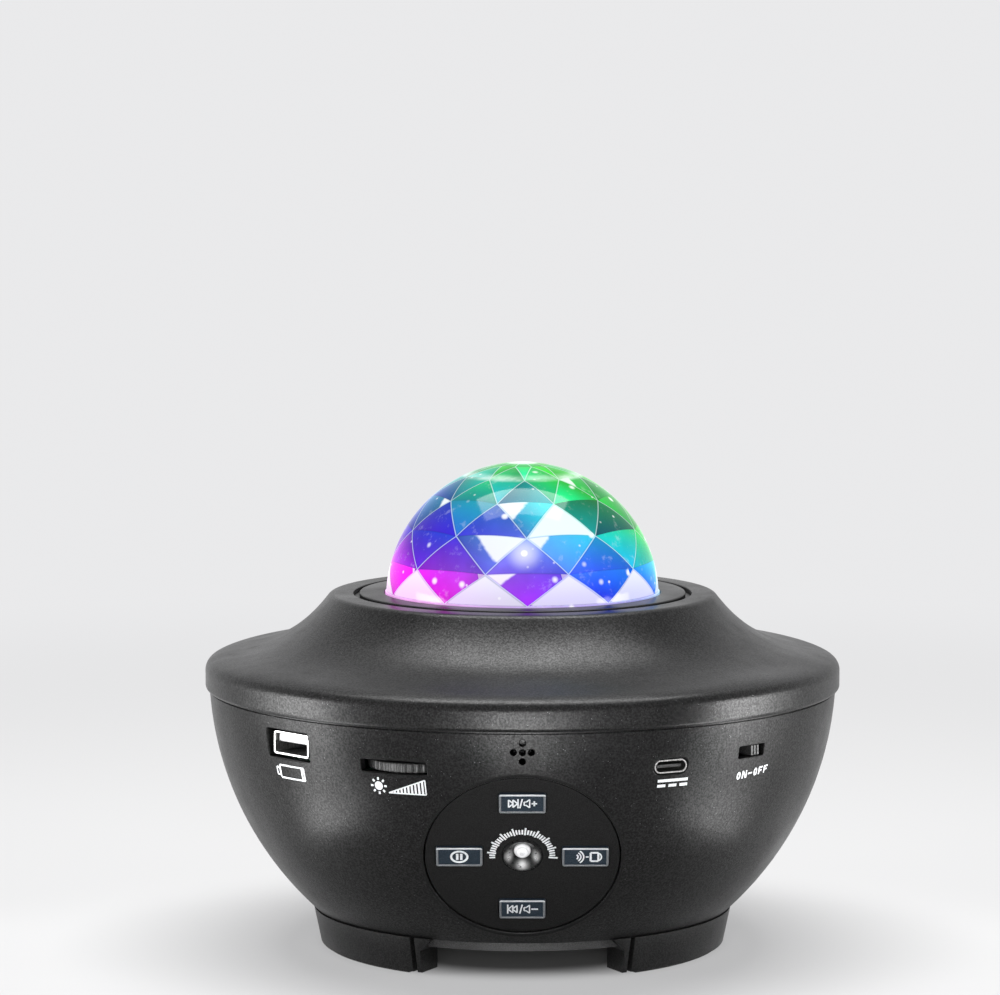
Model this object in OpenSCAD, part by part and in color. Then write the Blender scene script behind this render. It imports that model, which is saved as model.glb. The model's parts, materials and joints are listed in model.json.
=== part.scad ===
// Star night light projector: a black bowl on two arc feet, closed by a flared
// cover with a faceted clear dome. Origin: middle of the resting plane, +Z up,
// the control panel faces -Y. All lengths are in millimetres, angles in degrees.

/* [Body] */
// Radius of the brim, the widest line of the body
brim_r = 82.5; // [82.3:0.1:86]
// Radius of the bowl at the seam under the cover
bowl_rim_r = 81.4; // [80.6:0.1:81.6]
// Height of the seam between the bowl and the cover
seam_z = 66.8; // [66:0.1:69]
// Radius of the bowl where it meets the feet
bowl_foot_r = 54; // [53:0.1:55]
// Radius of the bowl's rounded side, seen in section
bowl_arc_r = 84; // [80:0.5:92]
// Wall of the bowl and of the cover
wall = 2.4; // [1.8:0.1:2.8]
// Radius of the opening in the bowl's floor
floor_open_r = 40; // [34:0.5:42]

/* [Cover] */
// Height of the flat deck round the dome
deck_z = 91.6; // [90.6:0.1:94]
// Radius where the deck starts to round over
deck_r = 48.9; // [48:0.1:51]
// Fillet between the flare and the deck
deck_fillet = 2.2; // [1:0.1:3]
// Height of the brim's upright band above the seam
brim_band = 5.2; // [4:0.1:6]
// Fillet on the upper edge of the brim
brim_fillet = 3; // [2:0.1:4]
// Turn of the brim fillet before the top surface starts
brim_turn = 60; // [50:1:70]
// Reach of the convex stretch next to the brim
flare_out = 6.7; // [5:0.1:9]
// Reach of the steep stretch next to the deck
flare_in = 20.4; // [16:0.1:24]
// Slope of the flare where it reaches the deck
flare_slope = 52.5; // [46:0.5:58]
// Depth of the skirt that plugs into the bowl
skirt_depth = 3; // [2:0.1:3.2]
// Open height of the dark seam line
seam_gap = 0.4; // [0.2:0.05:0.6]

/* [Dome] */
// Radius of the dome's smooth outside
dome_r = 35.5; // [34.8:0.1:35.6]
// Depth of the sphere's centre below the deck
dome_drop = 1.65; // [1.2:0.05:2.4]
// Radius of the corners of the facets inside the dome
dome_inner_r = 33; // [31.5:0.1:33.4]
// Facets round the dome
dome_sides = 10; // [8:2:12]
// Turn of the lowest facet corners from the front
dome_turn = 2; // [0:0.1:36]
// Radius of the clamped flange
dome_flange_r = 40.6; // [39.5:0.1:41]
// Thickness of the clamped flange
dome_flange_t = 1.6; // [1:0.1:2]
// Outer radius of the ring that holds the dome
ring_r = 42.4; // [41.9:0.1:42.8]
// Open groove round the ring
ring_groove = 1.6; // [0.8:0.1:1.8]

/* [Feet] */
// Height of the feet under the bowl
foot_h = 9.7; // [9:0.1:12]
// Outer radius of the feet at the floor
foot_low_r = 52.7; // [51.5:0.1:53.5]
// Outer radius of the feet at the bowl
foot_high_r = 54.6; // [54.2:0.1:55.5]
// Inner radius of the feet
foot_in_r = 45; // [44:0.1:45.5]
// Half of the open angle between the feet, front and back
foot_gap_half = 28.5; // [25:0.5:34]
// Width of the upright groove near each foot's end
foot_groove_w = 1.3; // [0.8:0.1:1.6]
// Thickness of the rubber pads
pad_t = 1.4; // [1:0.1:2]
// Amount by which the pads stand proud of the feet
pad_proud = 0.6; // [0.3:0.1:0.8]
// Thickness of the base plate
plate_t = 2.4; // [2:0.1:3]

/* [Control panel] */
// Width of the flat cut on the front of the bowl
flat_d = 50.8; // [50:0.1:52.5]
// Height of the middle of the flat
flat_z = 34.3; // [33.8:0.1:34.8]
// Radius of the panel disc
panel_r = 24; // [23.9:0.05:24.2]
// Thickness of the panel disc
panel_t = 1.8; // [1.4:0.1:2.2]
// Width of a button cap
button_w = 11.4; // [10:0.1:11.6]
// Height of a button cap
button_h = 5.7; // [5:0.1:6]
// Distance of the upper and lower buttons from the panel's middle
button_reach_y = 16.5; // [16:0.1:16.8]
// Distance of the side buttons from the panel's middle
button_reach_x = 15.5; // [15:0.1:15.7]
// Travel of a button
button_travel = 0.35; // [0.2:0.05:0.5]
// Radius of the reflector cup in the middle of the panel
cup_r = 4.8; // [4.2:0.1:5.2]

/* [Ports] */
// Direction of the USB-A socket from the front
usb_a_az = -46.5; // [-48:0.5:-45]
// Direction of the dimmer slot from the front
dimmer_az = -23.2; // [-24:0.1:-22.5]
// Direction of the USB-C inlet from the front
usb_c_az = 27; // [26:0.5:28]
// Direction of the slide switch from the front
switch_az = 45; // [44:0.5:47]
// Radius of the dimmer wheel
dimmer_r = 12.2; // [11.5:0.1:12.4]
// Thickness of the dimmer wheel
dimmer_t = 3; // [2.4:0.1:3.2]
// Ridges round the dimmer wheel
dimmer_ridges = 58; // [40:1:60]
// Travel of the slide switch
switch_travel = 3.6; // [2:0.1:3.8]
// Diameter of one microphone hole
mic_hole_d = 1.7; // [1:0.1:2]

/* [Light engine] */
// Tooth size of the gears, pitch diameter divided by teeth
gear_module = 0.6; // [0.56:0.01:0.62]
// Teeth round the ripple disc
disc_teeth = 70; // [66:2:72]
// Teeth on the motor pinion
pinion_teeth = 14; // [12:1:16]
// Teeth round the star wheel
star_teeth = 24; // [22:1:26]
// Play between meshing teeth, along the pitch circle
gear_play = 0.22; // [0.12:0.02:0.26]
// Thickness of the ripple disc
disc_t = 2; // [1.6:0.1:2.4]
// Radius of the bridge plate
bridge_r = 47; // [46:0.5:50]
// Thickness of the bridge plate
bridge_t = 2; // [1.6:0.1:2.4]

/* [Speaker] */
// Radius of the speaker's flange
speaker_r = 25; // [24:0.1:25.4]
// Thickness of the grille floor
grille_t = 2; // [1.6:0.1:2.4]
// Diameter of one grille hole
grille_hole_d = 2; // [1.4:0.1:2.2]
// Rings of grille holes
grille_rings = 4; // [2:1:4]

/* [Hidden] */
$fn = 64;
fit = 0.2;                 // clearance of parts that drop into one another
run = 0.05;                // radial clearance of turning shafts
snug = 0.02;               // radial clearance of screws in their holes
over = 1;                  // how far a cut runs past the surface it opens
large_head = [5, 1.8];     // head of the base and bridge screws, across and high
large_shank_d = 2.6;
small_head = [3.6, 1.3];   // head of the board screws
small_shank_d = 1.8;
motor_head = [3, 1];       // head of the motor's screws
motor_shank_d = 1.6;
arc_steps = 24;            // straight runs in the bowl's section
flare_steps = 22;          // straight runs in the cover's flare
small_steps = 6;           // straight runs in a fillet

// ---------------------------------------------------------------- helpers

function arc(c, r, a0, a1, n) =
    [for (i = [0:n]) c + r * [cos(a0 + (a1 - a0) * i / n), sin(a0 + (a1 - a0) * i / n)]];

// Centre of the arc of radius r from p down to q, on the side of the axis
function arc_centre(p, q, r) =
    let (half = (p - q) / 2, rise = sqrt(r * r - half * half))
    (p + q) / 2 + rise * [-half.y, half.x] / norm(half);

function angle_of(v) = atan2(v.y, v.x);

function bezier(p, t) =
    pow(1 - t, 3) * p[0] + 3 * pow(1 - t, 2) * t * p[1]
    + 3 * (1 - t) * t * t * p[2] + pow(t, 3) * p[3];

function bezier_way(p, t) =
    let (w = pow(1 - t, 2) * (p[1] - p[0]) + 2 * (1 - t) * t * (p[2] - p[1]) + t * t * (p[3] - p[2]))
    w / norm(w);

// The same curve, set in by d towards the inside of the body
function bezier_inset(p, t, d) = bezier(p, t) + d * [-bezier_way(p, t).y, bezier_way(p, t).x];

function reversed(list) = [for (i = [len(list) - 1:-1:0]) list[i]];

module around(az) rotate([0, 0, az]) children();

// A horizontal direction from the axis: children are drawn along -Y
module spots(list, r) for (az = list) around(az) translate([0, -r, 0]) children();

module rounded(w, h, r) {
    square([w - 2 * r, h], center = true);
    square([w, h - 2 * r], center = true);
    for (x = [-1, 1], y = [-1, 1]) translate([x * (w / 2 - r), y * (h / 2 - r)]) circle(r);
}

module block(x, y, z, size) translate([x, y, z]) cube(size);

// A pan-head screw pointing up, its head's underside at z = 0
module screw(head, shank_d, length) {
    translate([0, 0, -head.y]) cylinder(d = head.x, h = head.y);
    translate([0, 0, -head.y / 2]) cylinder(d = shank_d, h = length + head.y / 2);
}

// ---------------------------------------------------------------- derived sizes

bowl_top = [bowl_rim_r, seam_z];
bowl_low = [bowl_foot_r, foot_h];
bowl_c = arc_centre(bowl_top, bowl_low, bowl_arc_r);
bowl_in_r = bowl_arc_r - wall;
floor_z = foot_h + wall;
// Radius of the bowl's outside and inside at a height
function bowl_out(z) = bowl_c.x + sqrt(pow(bowl_arc_r, 2) - pow(bowl_c.y - z, 2));
function bowl_in(z) = bowl_c.x + sqrt(pow(bowl_in_r, 2) - pow(bowl_c.y - z, 2));

brim_z = seam_z + brim_band;
brim_c = [brim_r - brim_fillet, brim_z];
flare_a = brim_c + brim_fillet * [cos(brim_turn), sin(brim_turn)];
deck_c = [deck_r, deck_z - deck_fillet];
flare_b = deck_c + deck_fillet * [cos(90 - flare_slope), sin(90 - flare_slope)];
flare = [
    flare_a,
    flare_a + flare_out * [-sin(brim_turn), cos(brim_turn)],
    flare_b + flare_in * [cos(flare_slope), -sin(flare_slope)],
    flare_b];
skirt_r = bowl_in(seam_z) - fit - 0.1;
skirt_t = 2;
bead = 0.4;
bead_drop = 1.6;
bead_half = 0.4;
skirt_room = 10;
lip_round = 1;

well_r = ring_r + ring_groove;
ledge_z = deck_z - 3;
ledge_t = 2;
ledge_r = 36.8;
dome_c = deck_z - dome_drop;
ring_top = deck_z + 0.2;
band_top = ring_top + 0.3;
band_r = dome_r + 0.2;
dome_rows = [asin((band_top - dome_c) / dome_r), 16.2, 32, 49, 64.7, 79];

plate_top = foot_h;
plate_low = foot_h - plate_t;
plate_r = foot_high_r - 2.6;
foot_screw_r = 48.8;
foot_screw_az = [57, 123, -57, -123];
foot_head_z = 4.6;
foot_head_room_d = large_head.x + 0.6;
foot_boss_d = 7;
foot_boss_h = 10;
foot_screw_len = 14;
foot_gusset = 3.4;
foot_groove_in = 1.4;
foot_groove_deep = 1.9;
pad_inset = 0.9;
pad_end = 5;

flat_dist = sqrt(pow(bowl_arc_r, 2) - pow(flat_d / 2, 2));
flat_tilt = asin((bowl_c.y - flat_z) / flat_dist);
flat_c = [bowl_c.x + flat_dist * cos(flat_tilt), flat_z];
flat_air = 12;
panel_pad_rim = 1.6;
panel_pad_deep = 6;
panel_drop = 0.3;
panel_back = -panel_drop - panel_t;
panel_pad = 2.2;
panel_open_r = 22.8;
// Panel frame: x to the right, y up the panel, z out of it, zero on the flat
module on_panel() translate([0, -flat_c.x, flat_c.y]) rotate([90 + flat_tilt, 0, 0]) children();

button_spots = [[0, button_reach_y], [0, -button_reach_y], [-button_reach_x, 0], [button_reach_x, 0]];
button_lip = 0.8;
button_lip_t = 0.8;
button_top = 0.35;
button_gap = 0.05;
stem_low = panel_back - 2.5;
plunger_d = 3.4;
plunger_low = stem_low - 1.4;
switch_top = stem_low - button_travel - 0.25;
switch_size = 6;
switch_bore_deep = 1.8;
switch_t = 3.4;
button_board_top = switch_top - switch_t;
button_board_t = 1.6;
button_board_r = 21.4;
panel_post = 11.5;
panel_post_d = 4.6;
cup_t = 1.3;
window_r = 2.1;
window_dome_r = 2.25;
receiver_size = 5.4;

board_top = 55.5;
board_t = 1.6;
board_low = board_top - board_t;
board_r = bowl_in(board_low) - 2.6;
board_in_r = board_r - 24.5;
board_half = 64;
board_notch_r = board_r - 12.5;
board_notch_half = 16.5;
board_post_az = [-58, -37, 36, 58];
board_post_r = board_r - 4.5;
board_post_d = 6;
board_post_low = 30;
board_screw_deep = 9;
board_screw_len = 8;
sound_chip = [14, 10, 2.2];
radio_chip = [7, 7, 1.6];
power_chip = [8, 6, 1.6];
large_can = [8, 5];        // capacitors, across and high
small_can = [5, 6];

usb_a_z = 59.95;
usb_a_w = 13.1;
usb_a_h = 5.7;
usb_a_front = bowl_out(usb_a_z) - 1.5;
usb_a_len = 14;
usb_a_wall = 0.4;
usb_a_room = [2.4, 1.5];
usb_a_tongue = [11.1, 1.84];
usb_a_back = 1.6;
usb_c_z = 57.3;
usb_c_w = 9;
usb_c_h = 3.3;
usb_c_front = bowl_out(usb_c_z) - 0.3;
usb_c_len = 7.5;
usb_c_wall = 0.35;
usb_c_room = 0.7;
usb_c_tongue = [6.7, 0.7];
usb_c_back = 1.5;
window_depth = 8;
window_corner = 0.4;
slot_z = 57.4;
slot_w = 17.7;
slot_h = 3.7;
wheel_az = dimmer_az + 1.2;
wheel_proud = 0.6;
wheel_r = bowl_out(slot_z) + wheel_proud - dimmer_r;
wheel_low = slot_z - dimmer_t / 2;
wheel_ridge = 0.55;
wheel_room = 0.5;
shaft_d = 5;
pot_size = 14;
pot_t = 3;
pot_offset = 1.5;
switch_z = 58.8;
switch_slot_w = 9.2;
switch_slot_h = 3;
knob_w = 2.8;
knob_h = 2.4;
knob_x = switch_travel / 2;
knob_foot = 2.8;
knob_inset = 0.7;
knob_groove = 0.4;
switch_front = bowl_out(switch_z) - 6.5;
switch_body = [12, 5.4, 4.6];
switch_bore = [9.8, 3, 3];
mic_z = seam_z - 4.25;
mic_step_z = 2.4;
mic_step_az = 2.04;
mic_d = 4.4;
mic_len = 2;

bridge_top = deck_z - 17.6;
bridge_low = bridge_top - bridge_t;
bridge_post_az = [45, 135, 225, 315];
bridge_post_r = 42;
bridge_post_d = 7;
pinion_reach = gear_module * (disc_teeth + pinion_teeth) / 2;
star_reach = gear_module * (disc_teeth + star_teeth) / 2;
motor_dir = 200;
star_dir = motor_dir - 180;
gear_low = bridge_top + 8.6;
spindle_d = 3;
sink_r = 19;
sink_t = 3;
led_board_t = 1.6;
led_board_z = bridge_top + sink_t;
led_z = led_board_z + led_board_t;
led_spots = 4;
led_reach = 11.5;
motor_d = 14;
motor_len = 12;
motor_shaft_d = 2;
motor_collar_d = 6;
star_pin_d = 2;
laser_d = 5;
laser_reach = star_reach + 4.7;
laser_low = bridge_low - 6;
laser_top = gear_low - 2.4;
bridge_screw_len = 10;
bridge_hole_deep = 9;
cable_slot = [10, 4];
motor_screw_reach = 5;
motor_screw_len = 4.4;
motor_screw_hole = 3;
sink_slots = 24;
sink_slot = [3, 1.6];
led_size = 5;
led_lens_d = 4.4;
lens_bump_r = 5;
lens_bump_edge = 2.6;

grille_top = plate_low - 2.3;
grille_low = grille_top - grille_t;
grille_step = 4;
drum_r = speaker_r + fit;
drum_wall = 2;
gasket_t = 0.6;
basket_low = grille_top + gasket_t;
basket_t = 1.2;
cone_r = 17.4;
coil_r = 5.2;
coil_wall = 0.3;
cone_low = basket_low + 1.4;
cone_high = cone_low + 6;
magnet_low = basket_low + 10;
magnet_t = 7;
magnet_r = 14;

// ---------------------------------------------------------------- housing

module bowl_solid() {
    top_a = angle_of(bowl_top - bowl_c);
    low_a = angle_of(bowl_low - bowl_c);
    rotate_extrude($fn = 128)
        polygon(concat([[0, foot_h]], reversed(arc(bowl_c, bowl_arc_r, top_a, low_a, arc_steps)), [[0, seam_z]]));
}

module bowl_hollow() {
    top_a = asin((seam_z + over - bowl_c.y) / bowl_in_r);
    low_a = asin((floor_z - bowl_c.y) / bowl_in_r);
    rotate_extrude($fn = 128)
        polygon(concat([[0, floor_z]], reversed(arc(bowl_c, bowl_in_r, top_a, low_a, arc_steps)),
            [[0, seam_z + over]]));
}

// Groove in the bowl's wall for the cover's snap bead
module bead_groove()
    rotate_extrude($fn = 128)
        translate([skirt_r - over, seam_z - bead_drop - bead_half - fit - 0.1])
            square([over + bead + fit + 0.1, 2 * (bead_half + fit) + 0.2]);

// A rectangular window through the wall, w wide and h high at height z
module wall_window(az, z, w, h)
    around(az) translate([0, -bowl_out(z), z]) rotate([90, 0, 0])
        linear_extrude(height = window_depth, center = true) rounded(w, h, window_corner);

module stadium(w, h) {
    square([w - h, h], center = true);
    for (x = [-1, 1]) translate([x * (w - h) / 2, 0]) circle(h / 2);
}

module bowl_housing() color([0.09, 0.09, 0.1]) difference() {
    union() {
        difference() {
            bowl_solid();
            bowl_hollow();
        }
        intersection() {
            bowl_solid();
            union() {
                on_panel() translate([0, 0, panel_back - panel_pad])
                    cylinder(r = flat_d / 2 + panel_pad_rim, h = panel_pad - panel_back + panel_pad_deep);
                spots(board_post_az, board_post_r) translate([0, 0, board_post_low])
                    cylinder(d = board_post_d, h = board_low - board_post_low);
                spots(foot_screw_az, foot_screw_r) translate([0, 0, foot_h])
                    cylinder(d = foot_boss_d, h = foot_boss_h + wall);
            }
        }
    }
    on_panel() cylinder(r = flat_d, h = flat_air);
    on_panel() translate([0, 0, panel_back]) cylinder(r = panel_r + fit + 0.1, h = over - panel_back);
    on_panel() translate([0, 0, panel_back - panel_pad - over])
        cylinder(r = panel_open_r, h = panel_pad + 2 * over);
    translate([0, 0, foot_h - over]) cylinder(r = floor_open_r, h = wall + 2 * over);
    bead_groove();
    wall_window(usb_a_az, usb_a_z, usb_a_w + usb_a_room.x, usb_a_h + usb_a_room.y);
    wall_window(dimmer_az, slot_z, slot_w, slot_h);
    // Pocket behind the slot, so that the wall's inner edge clears the wheel
    intersection() {
        spots([wheel_az], wheel_r) translate([0, 0, slot_z - slot_h / 2])
            cylinder(r = dimmer_r + wheel_room, h = slot_h);
        translate([0, 0, slot_z - slot_h])
            cylinder(r = bowl_out(slot_z) - wheel_room - wheel_proud, h = 2 * slot_h);
    }
    wall_window(switch_az, switch_z, switch_slot_w, switch_slot_h);
    around(usb_c_az) translate([0, -bowl_out(usb_c_z), usb_c_z]) rotate([90, 0, 0])
        linear_extrude(height = window_depth, center = true) stadium(usb_c_w + usb_c_room, usb_c_h + usb_c_room);
    for (step = [-1, 1]) mic_hole(0, mic_z + step * mic_step_z);
    for (step = [-1:1]) mic_hole(step * mic_step_az, mic_z);
    spots(board_post_az, board_post_r) translate([0, 0, board_low - board_screw_deep])
        cylinder(d = small_shank_d + 2 * snug, h = board_screw_deep + over);
    spots(foot_screw_az, foot_screw_r) translate([0, 0, foot_h - over])
        cylinder(d = large_shank_d + 2 * snug, h = foot_boss_h + over);
}

module mic_hole(az, z)
    around(az) translate([0, -bowl_in(z) + mic_len, z]) rotate([90, 0, 0])
        cylinder(d = mic_hole_d, h = window_depth, $fn = 24);

module top_cover() color([0.1, 0.1, 0.11]) difference() {
    union() {
        rotate_extrude($fn = 128) polygon(concat(
            [[bowl_rim_r - seam_gap, seam_z], [bowl_rim_r - seam_gap, seam_z + seam_gap],
             [brim_r - lip_round, seam_z + seam_gap]],
            arc([brim_r - lip_round, seam_z + seam_gap + lip_round], lip_round, -60, 0, small_steps),
            arc(brim_c, brim_fillet, 0, brim_turn, small_steps),
            [for (i = [1:flare_steps - 1]) bezier(flare, i / flare_steps)],
            arc(deck_c, deck_fillet, 90 - flare_slope, 90, small_steps),
            [[well_r, deck_z], [well_r, ledge_z], [ledge_r, ledge_z], [ledge_r, ledge_z - ledge_t],
             [well_r + 2.2, ledge_z - ledge_t], [well_r + 2.2, deck_z - wall]],
            [for (i = [flare_steps:-1:0]) bezier_inset(flare, i / flare_steps, wall)],
            [[brim_r - wall, brim_z], [brim_r - wall, seam_z + wall], [skirt_r - skirt_t, seam_z + wall],
             [skirt_r - skirt_t, seam_z - skirt_depth], [skirt_r, seam_z - skirt_depth],
             [skirt_r, seam_z - bead_drop - bead_half], [skirt_r + bead, seam_z - bead_drop],
             [skirt_r, seam_z - bead_drop + bead_half], [skirt_r, seam_z]]));
        spots(bridge_post_az, bridge_post_r) translate([0, 0, bridge_top])
            cylinder(d = bridge_post_d, h = ledge_z - ledge_t / 2 - bridge_top);
    }
    // Room for the microphone in the skirt
    translate([-mic_d, -bowl_rim_r, seam_z - skirt_depth - over])
        cube([2 * mic_d, skirt_room, skirt_depth + over - fit]);
    spots(bridge_post_az, bridge_post_r) translate([0, 0, bridge_top - over])
        cylinder(d = large_shank_d + 2 * snug, h = bridge_hole_deep + over);
}

module lens_ring() color([0.12, 0.12, 0.13]) {
    in_r = band_r + fit + 0.1;
    cham = 0.3;
    flange_top = ledge_z + dome_flange_t + 0.1;
    rotate_extrude($fn = 128) polygon([
        [in_r, flange_top], [in_r, ring_top - cham], [in_r + cham, ring_top],
        [ring_r - cham, ring_top], [ring_r, ring_top - cham], [ring_r, ring_top - 1.4],
        [well_r - fit, ring_top - 1.4], [well_r - fit, ledge_z],
        [dome_flange_r + fit, ledge_z], [dome_flange_r + fit, flange_top]]);
}

// Corner k of facet row i; odd rows are turned by half a facet
function dome_corner(i, k) =
    let (a = dome_turn - 90 + (k + (i % 2) / 2) * 360 / dome_sides)
    dome_inner_r * [cos(dome_rows[i]) * cos(a), cos(dome_rows[i]) * sin(a), sin(dome_rows[i])] + [0, 0, dome_c];

// The hollow of the dome: smooth outside, faceted inside
module dome_facets() {
    n = dome_sides;
    last = len(dome_rows) - 1;
    skirt_z = ledge_z - over;
    corners = [for (i = [0:last], k = [0:n - 1]) dome_corner(i, k)];
    low = [for (k = [0:n - 1]) [corners[k].x, corners[k].y, skirt_z]];
    top = (last + 1) * n;
    points = concat(corners, [[0, 0, dome_c + dome_inner_r]], low);
    // Between two rows each corner carries one triangle up and one down
    up = [for (i = [0:last - 1], k = [0:n - 1])
        let (next = (i % 2 == 0) ? k : (k + 1) % n)
        [i * n + k, (i + 1) * n + next, i * n + (k + 1) % n]];
    down = [for (i = [0:last - 1], k = [0:n - 1])
        let (prev = (i % 2 == 0) ? (k + n - 1) % n : k)
        [i * n + k, (i + 1) * n + prev, (i + 1) * n + (prev + 1) % n]];
    cap = [for (k = [0:n - 1]) [last * n + k, top, last * n + (k + 1) % n]];
    sides = [for (k = [0:n - 1]) [k, (k + 1) % n, top + 1 + (k + 1) % n, top + 1 + k]];
    floor_face = [[for (k = [0:n - 1]) top + 1 + k]];
    polyhedron(points, concat(up, down, cap, sides, floor_face), convexity = 4);
}

module dome_lens() color([0.75, 0.8, 0.95, 0.6]) difference() {
    union() {
        intersection() {
            translate([0, 0, dome_c]) sphere(r = dome_r, $fn = 96);
            translate([0, 0, ledge_z]) cylinder(r = dome_r + over, h = dome_r + over);
        }
        translate([0, 0, ledge_z]) cylinder(r = band_r, h = band_top - ledge_z, $fn = 128);
        translate([0, 0, ledge_z]) cylinder(r = dome_flange_r, h = dome_flange_t, $fn = 128);
    }
    dome_facets();
}

// ---------------------------------------------------------------- base

module base_plate() color([0.08, 0.08, 0.09]) difference() {
    union() {
        translate([0, 0, plate_low]) cylinder(r = plate_r, h = plate_t, $fn = 128);
        translate([0, 0, grille_low]) cylinder(r = drum_r + drum_wall, h = plate_top - grille_low);
    }
    translate([0, 0, grille_top]) cylinder(r = drum_r, h = plate_top - grille_top + over);
    translate([0, 0, grille_low - over]) cylinder(d = grille_hole_d, h = grille_t + 2 * over, $fn = 16);
    for (ring = [1:grille_rings], k = [0:6 * ring - 1]) rotate([0, 0, 360 * k / (6 * ring)])
        translate([ring * grille_step, 0, grille_low - over])
            cylinder(d = grille_hole_d, h = grille_t + 2 * over, $fn = 16);
    spots(foot_screw_az, foot_screw_r) translate([0, 0, plate_low - over])
        cylinder(d = large_shank_d + 2 * fit, h = plate_t + 2 * over);
}

// The foot on the side of +X; the other is its mirror image
module foot() difference() {
    // Angle that the sloping end takes beyond the foot's upright end
    extra = foot_gusset / foot_high_r * 180 / PI;
    start = foot_gap_half - extra;
    union() rotate([0, 0, start - 90]) rotate_extrude(angle = 2 * (90 - start), $fn = 128) polygon([
        [foot_in_r, pad_proud], [foot_low_r, pad_proud], [foot_high_r, foot_h],
        [plate_r + fit, foot_h], [plate_r + fit, plate_low], [foot_in_r, plate_low]]);
    for (end = [0, 1]) mirror([0, end, 0]) {
        // The gap's upper corner is bevelled, so the foot's top reaches further than its end
        around(foot_gap_half) rotate([90, 0, 0]) linear_extrude(height = foot_high_r + over) polygon([
            [0, -over], [0, foot_h - foot_gusset], [-foot_gusset - over, foot_h + over],
            [-foot_in_r / 2, foot_h + over], [-foot_in_r / 2, -over]]);
        around(foot_gap_half + foot_groove_in / foot_high_r * 180 / PI)
            translate([0, -foot_high_r - over, -over])
                cube([foot_groove_w, over + foot_groove_deep, foot_h + 2 * over]);
    }
    pad_seat(fit / 2);
    for (az = [57, 123]) around(az) translate([0, -foot_screw_r, 0]) {
        cylinder(d = foot_head_room_d, h = foot_head_z);
        cylinder(d = large_shank_d + 2 * fit, h = foot_h);
    }
}

// The arc that a rubber pad fills on the side of +X, grown by a clearance
module pad_seat(gap) {
    start = foot_gap_half + pad_end;
    rotate([0, 0, start - 90 - gap]) rotate_extrude(angle = 2 * (90 - start + gap), $fn = 128)
        translate([foot_in_r + pad_inset - gap, 0])
            square([foot_low_r - foot_in_r - 2 * pad_inset + 2 * gap, pad_t]);
}

module foot_right() color([0.1, 0.1, 0.11]) foot();

module foot_left() color([0.1, 0.1, 0.11]) mirror([1, 0, 0]) foot();

module rubber_pads() color([0.05, 0.05, 0.05]) for (side = [0, 1]) mirror([side, 0, 0]) pad_seat(0);

module base_screws() color("silver") spots(foot_screw_az, foot_screw_r)
    translate([0, 0, foot_head_z]) screw(large_head, large_shank_d, foot_screw_len);

// ---------------------------------------------------------------- panel and buttons

module control_panel() color([0.06, 0.06, 0.07]) on_panel() difference() {
    union() {
        translate([0, 0, panel_back]) cylinder(r = panel_r, h = panel_t, $fn = 96);
        for (x = [-1, 1], y = [-1, 1]) translate([x * panel_post, y * panel_post, button_board_top])
            cylinder(d = panel_post_d, h = panel_back + panel_t / 2 - button_board_top);
    }
    for (at = button_spots) translate([at.x, at.y, panel_back - over])
        linear_extrude(height = panel_t + 2 * over) rounded(button_w + 2 * fit, button_h + 2 * fit, 0.8);
    translate([0, 0, panel_back - over]) cylinder(r = cup_r + fit, h = panel_t + 2 * over);
    for (x = [-1, 1], y = [-1, 1]) translate([x * panel_post, y * panel_post, button_board_top - over])
        cylinder(d = small_shank_d + 2 * snug, h = panel_back - button_board_top + over);
}

// One button: a cap with a raised rim, a lip behind the panel and a stem
module button(at) color([0.16, 0.18, 0.21]) on_panel() translate([at.x, at.y, 0]) difference() {
    union() {
        translate([0, 0, panel_back - button_gap - button_lip_t])
            linear_extrude(height = button_top - panel_back + button_gap + button_lip_t)
                rounded(button_w, button_h, 0.6);
        translate([0, 0, panel_back - button_gap - button_lip_t])
            linear_extrude(height = button_lip_t)
                rounded(button_w + 2 * button_lip, button_h + 2 * button_lip, 0.6);
        translate([0, 0, stem_low]) cylinder(d = plunger_d, h = panel_back - stem_low);
    }
    translate([0, 0, button_top - 0.25]) linear_extrude(height = over)
        rounded(button_w - 0.9, button_h - 0.9, 0.4);
}

module button_up() button(button_spots[0]);
module button_down() button(button_spots[1]);
module button_left() button(button_spots[2]);
module button_right() button(button_spots[3]);

module plunger(at) color([0.85, 0.8, 0.7]) on_panel() translate([at.x, at.y, plunger_low])
    cylinder(d = plunger_d, h = stem_low - plunger_low);

module plunger_up() plunger(button_spots[0]);
module plunger_down() plunger(button_spots[1]);
module plunger_left() plunger(button_spots[2]);
module plunger_right() plunger(button_spots[3]);

module switch_bodies() color([0.2, 0.2, 0.2]) on_panel() for (at = button_spots)
    translate([at.x, at.y, button_board_top]) difference() {
        translate([-switch_size / 2, -switch_size / 2, 0]) cube([switch_size, switch_size, switch_t]);
        translate([0, 0, switch_t - switch_bore_deep])
            cylinder(r = (plunger_d + fit) / 2, h = switch_bore_deep + over);
    }

module button_board() color([0.05, 0.3, 0.15]) on_panel() difference() {
    translate([0, 0, button_board_top - button_board_t]) cylinder(r = button_board_r, h = button_board_t);
    for (x = [-1, 1], y = [-1, 1])
        translate([x * panel_post, y * panel_post, button_board_top - button_board_t - over])
            cylinder(d = small_shank_d + 2 * fit, h = button_board_t + 2 * over);
}

module button_board_screws() color("silver") on_panel() for (x = [-1, 1], y = [-1, 1])
    translate([x * panel_post, y * panel_post, button_board_top - button_board_t])
        screw(small_head, small_shank_d, button_board_t + 4.4);

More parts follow.
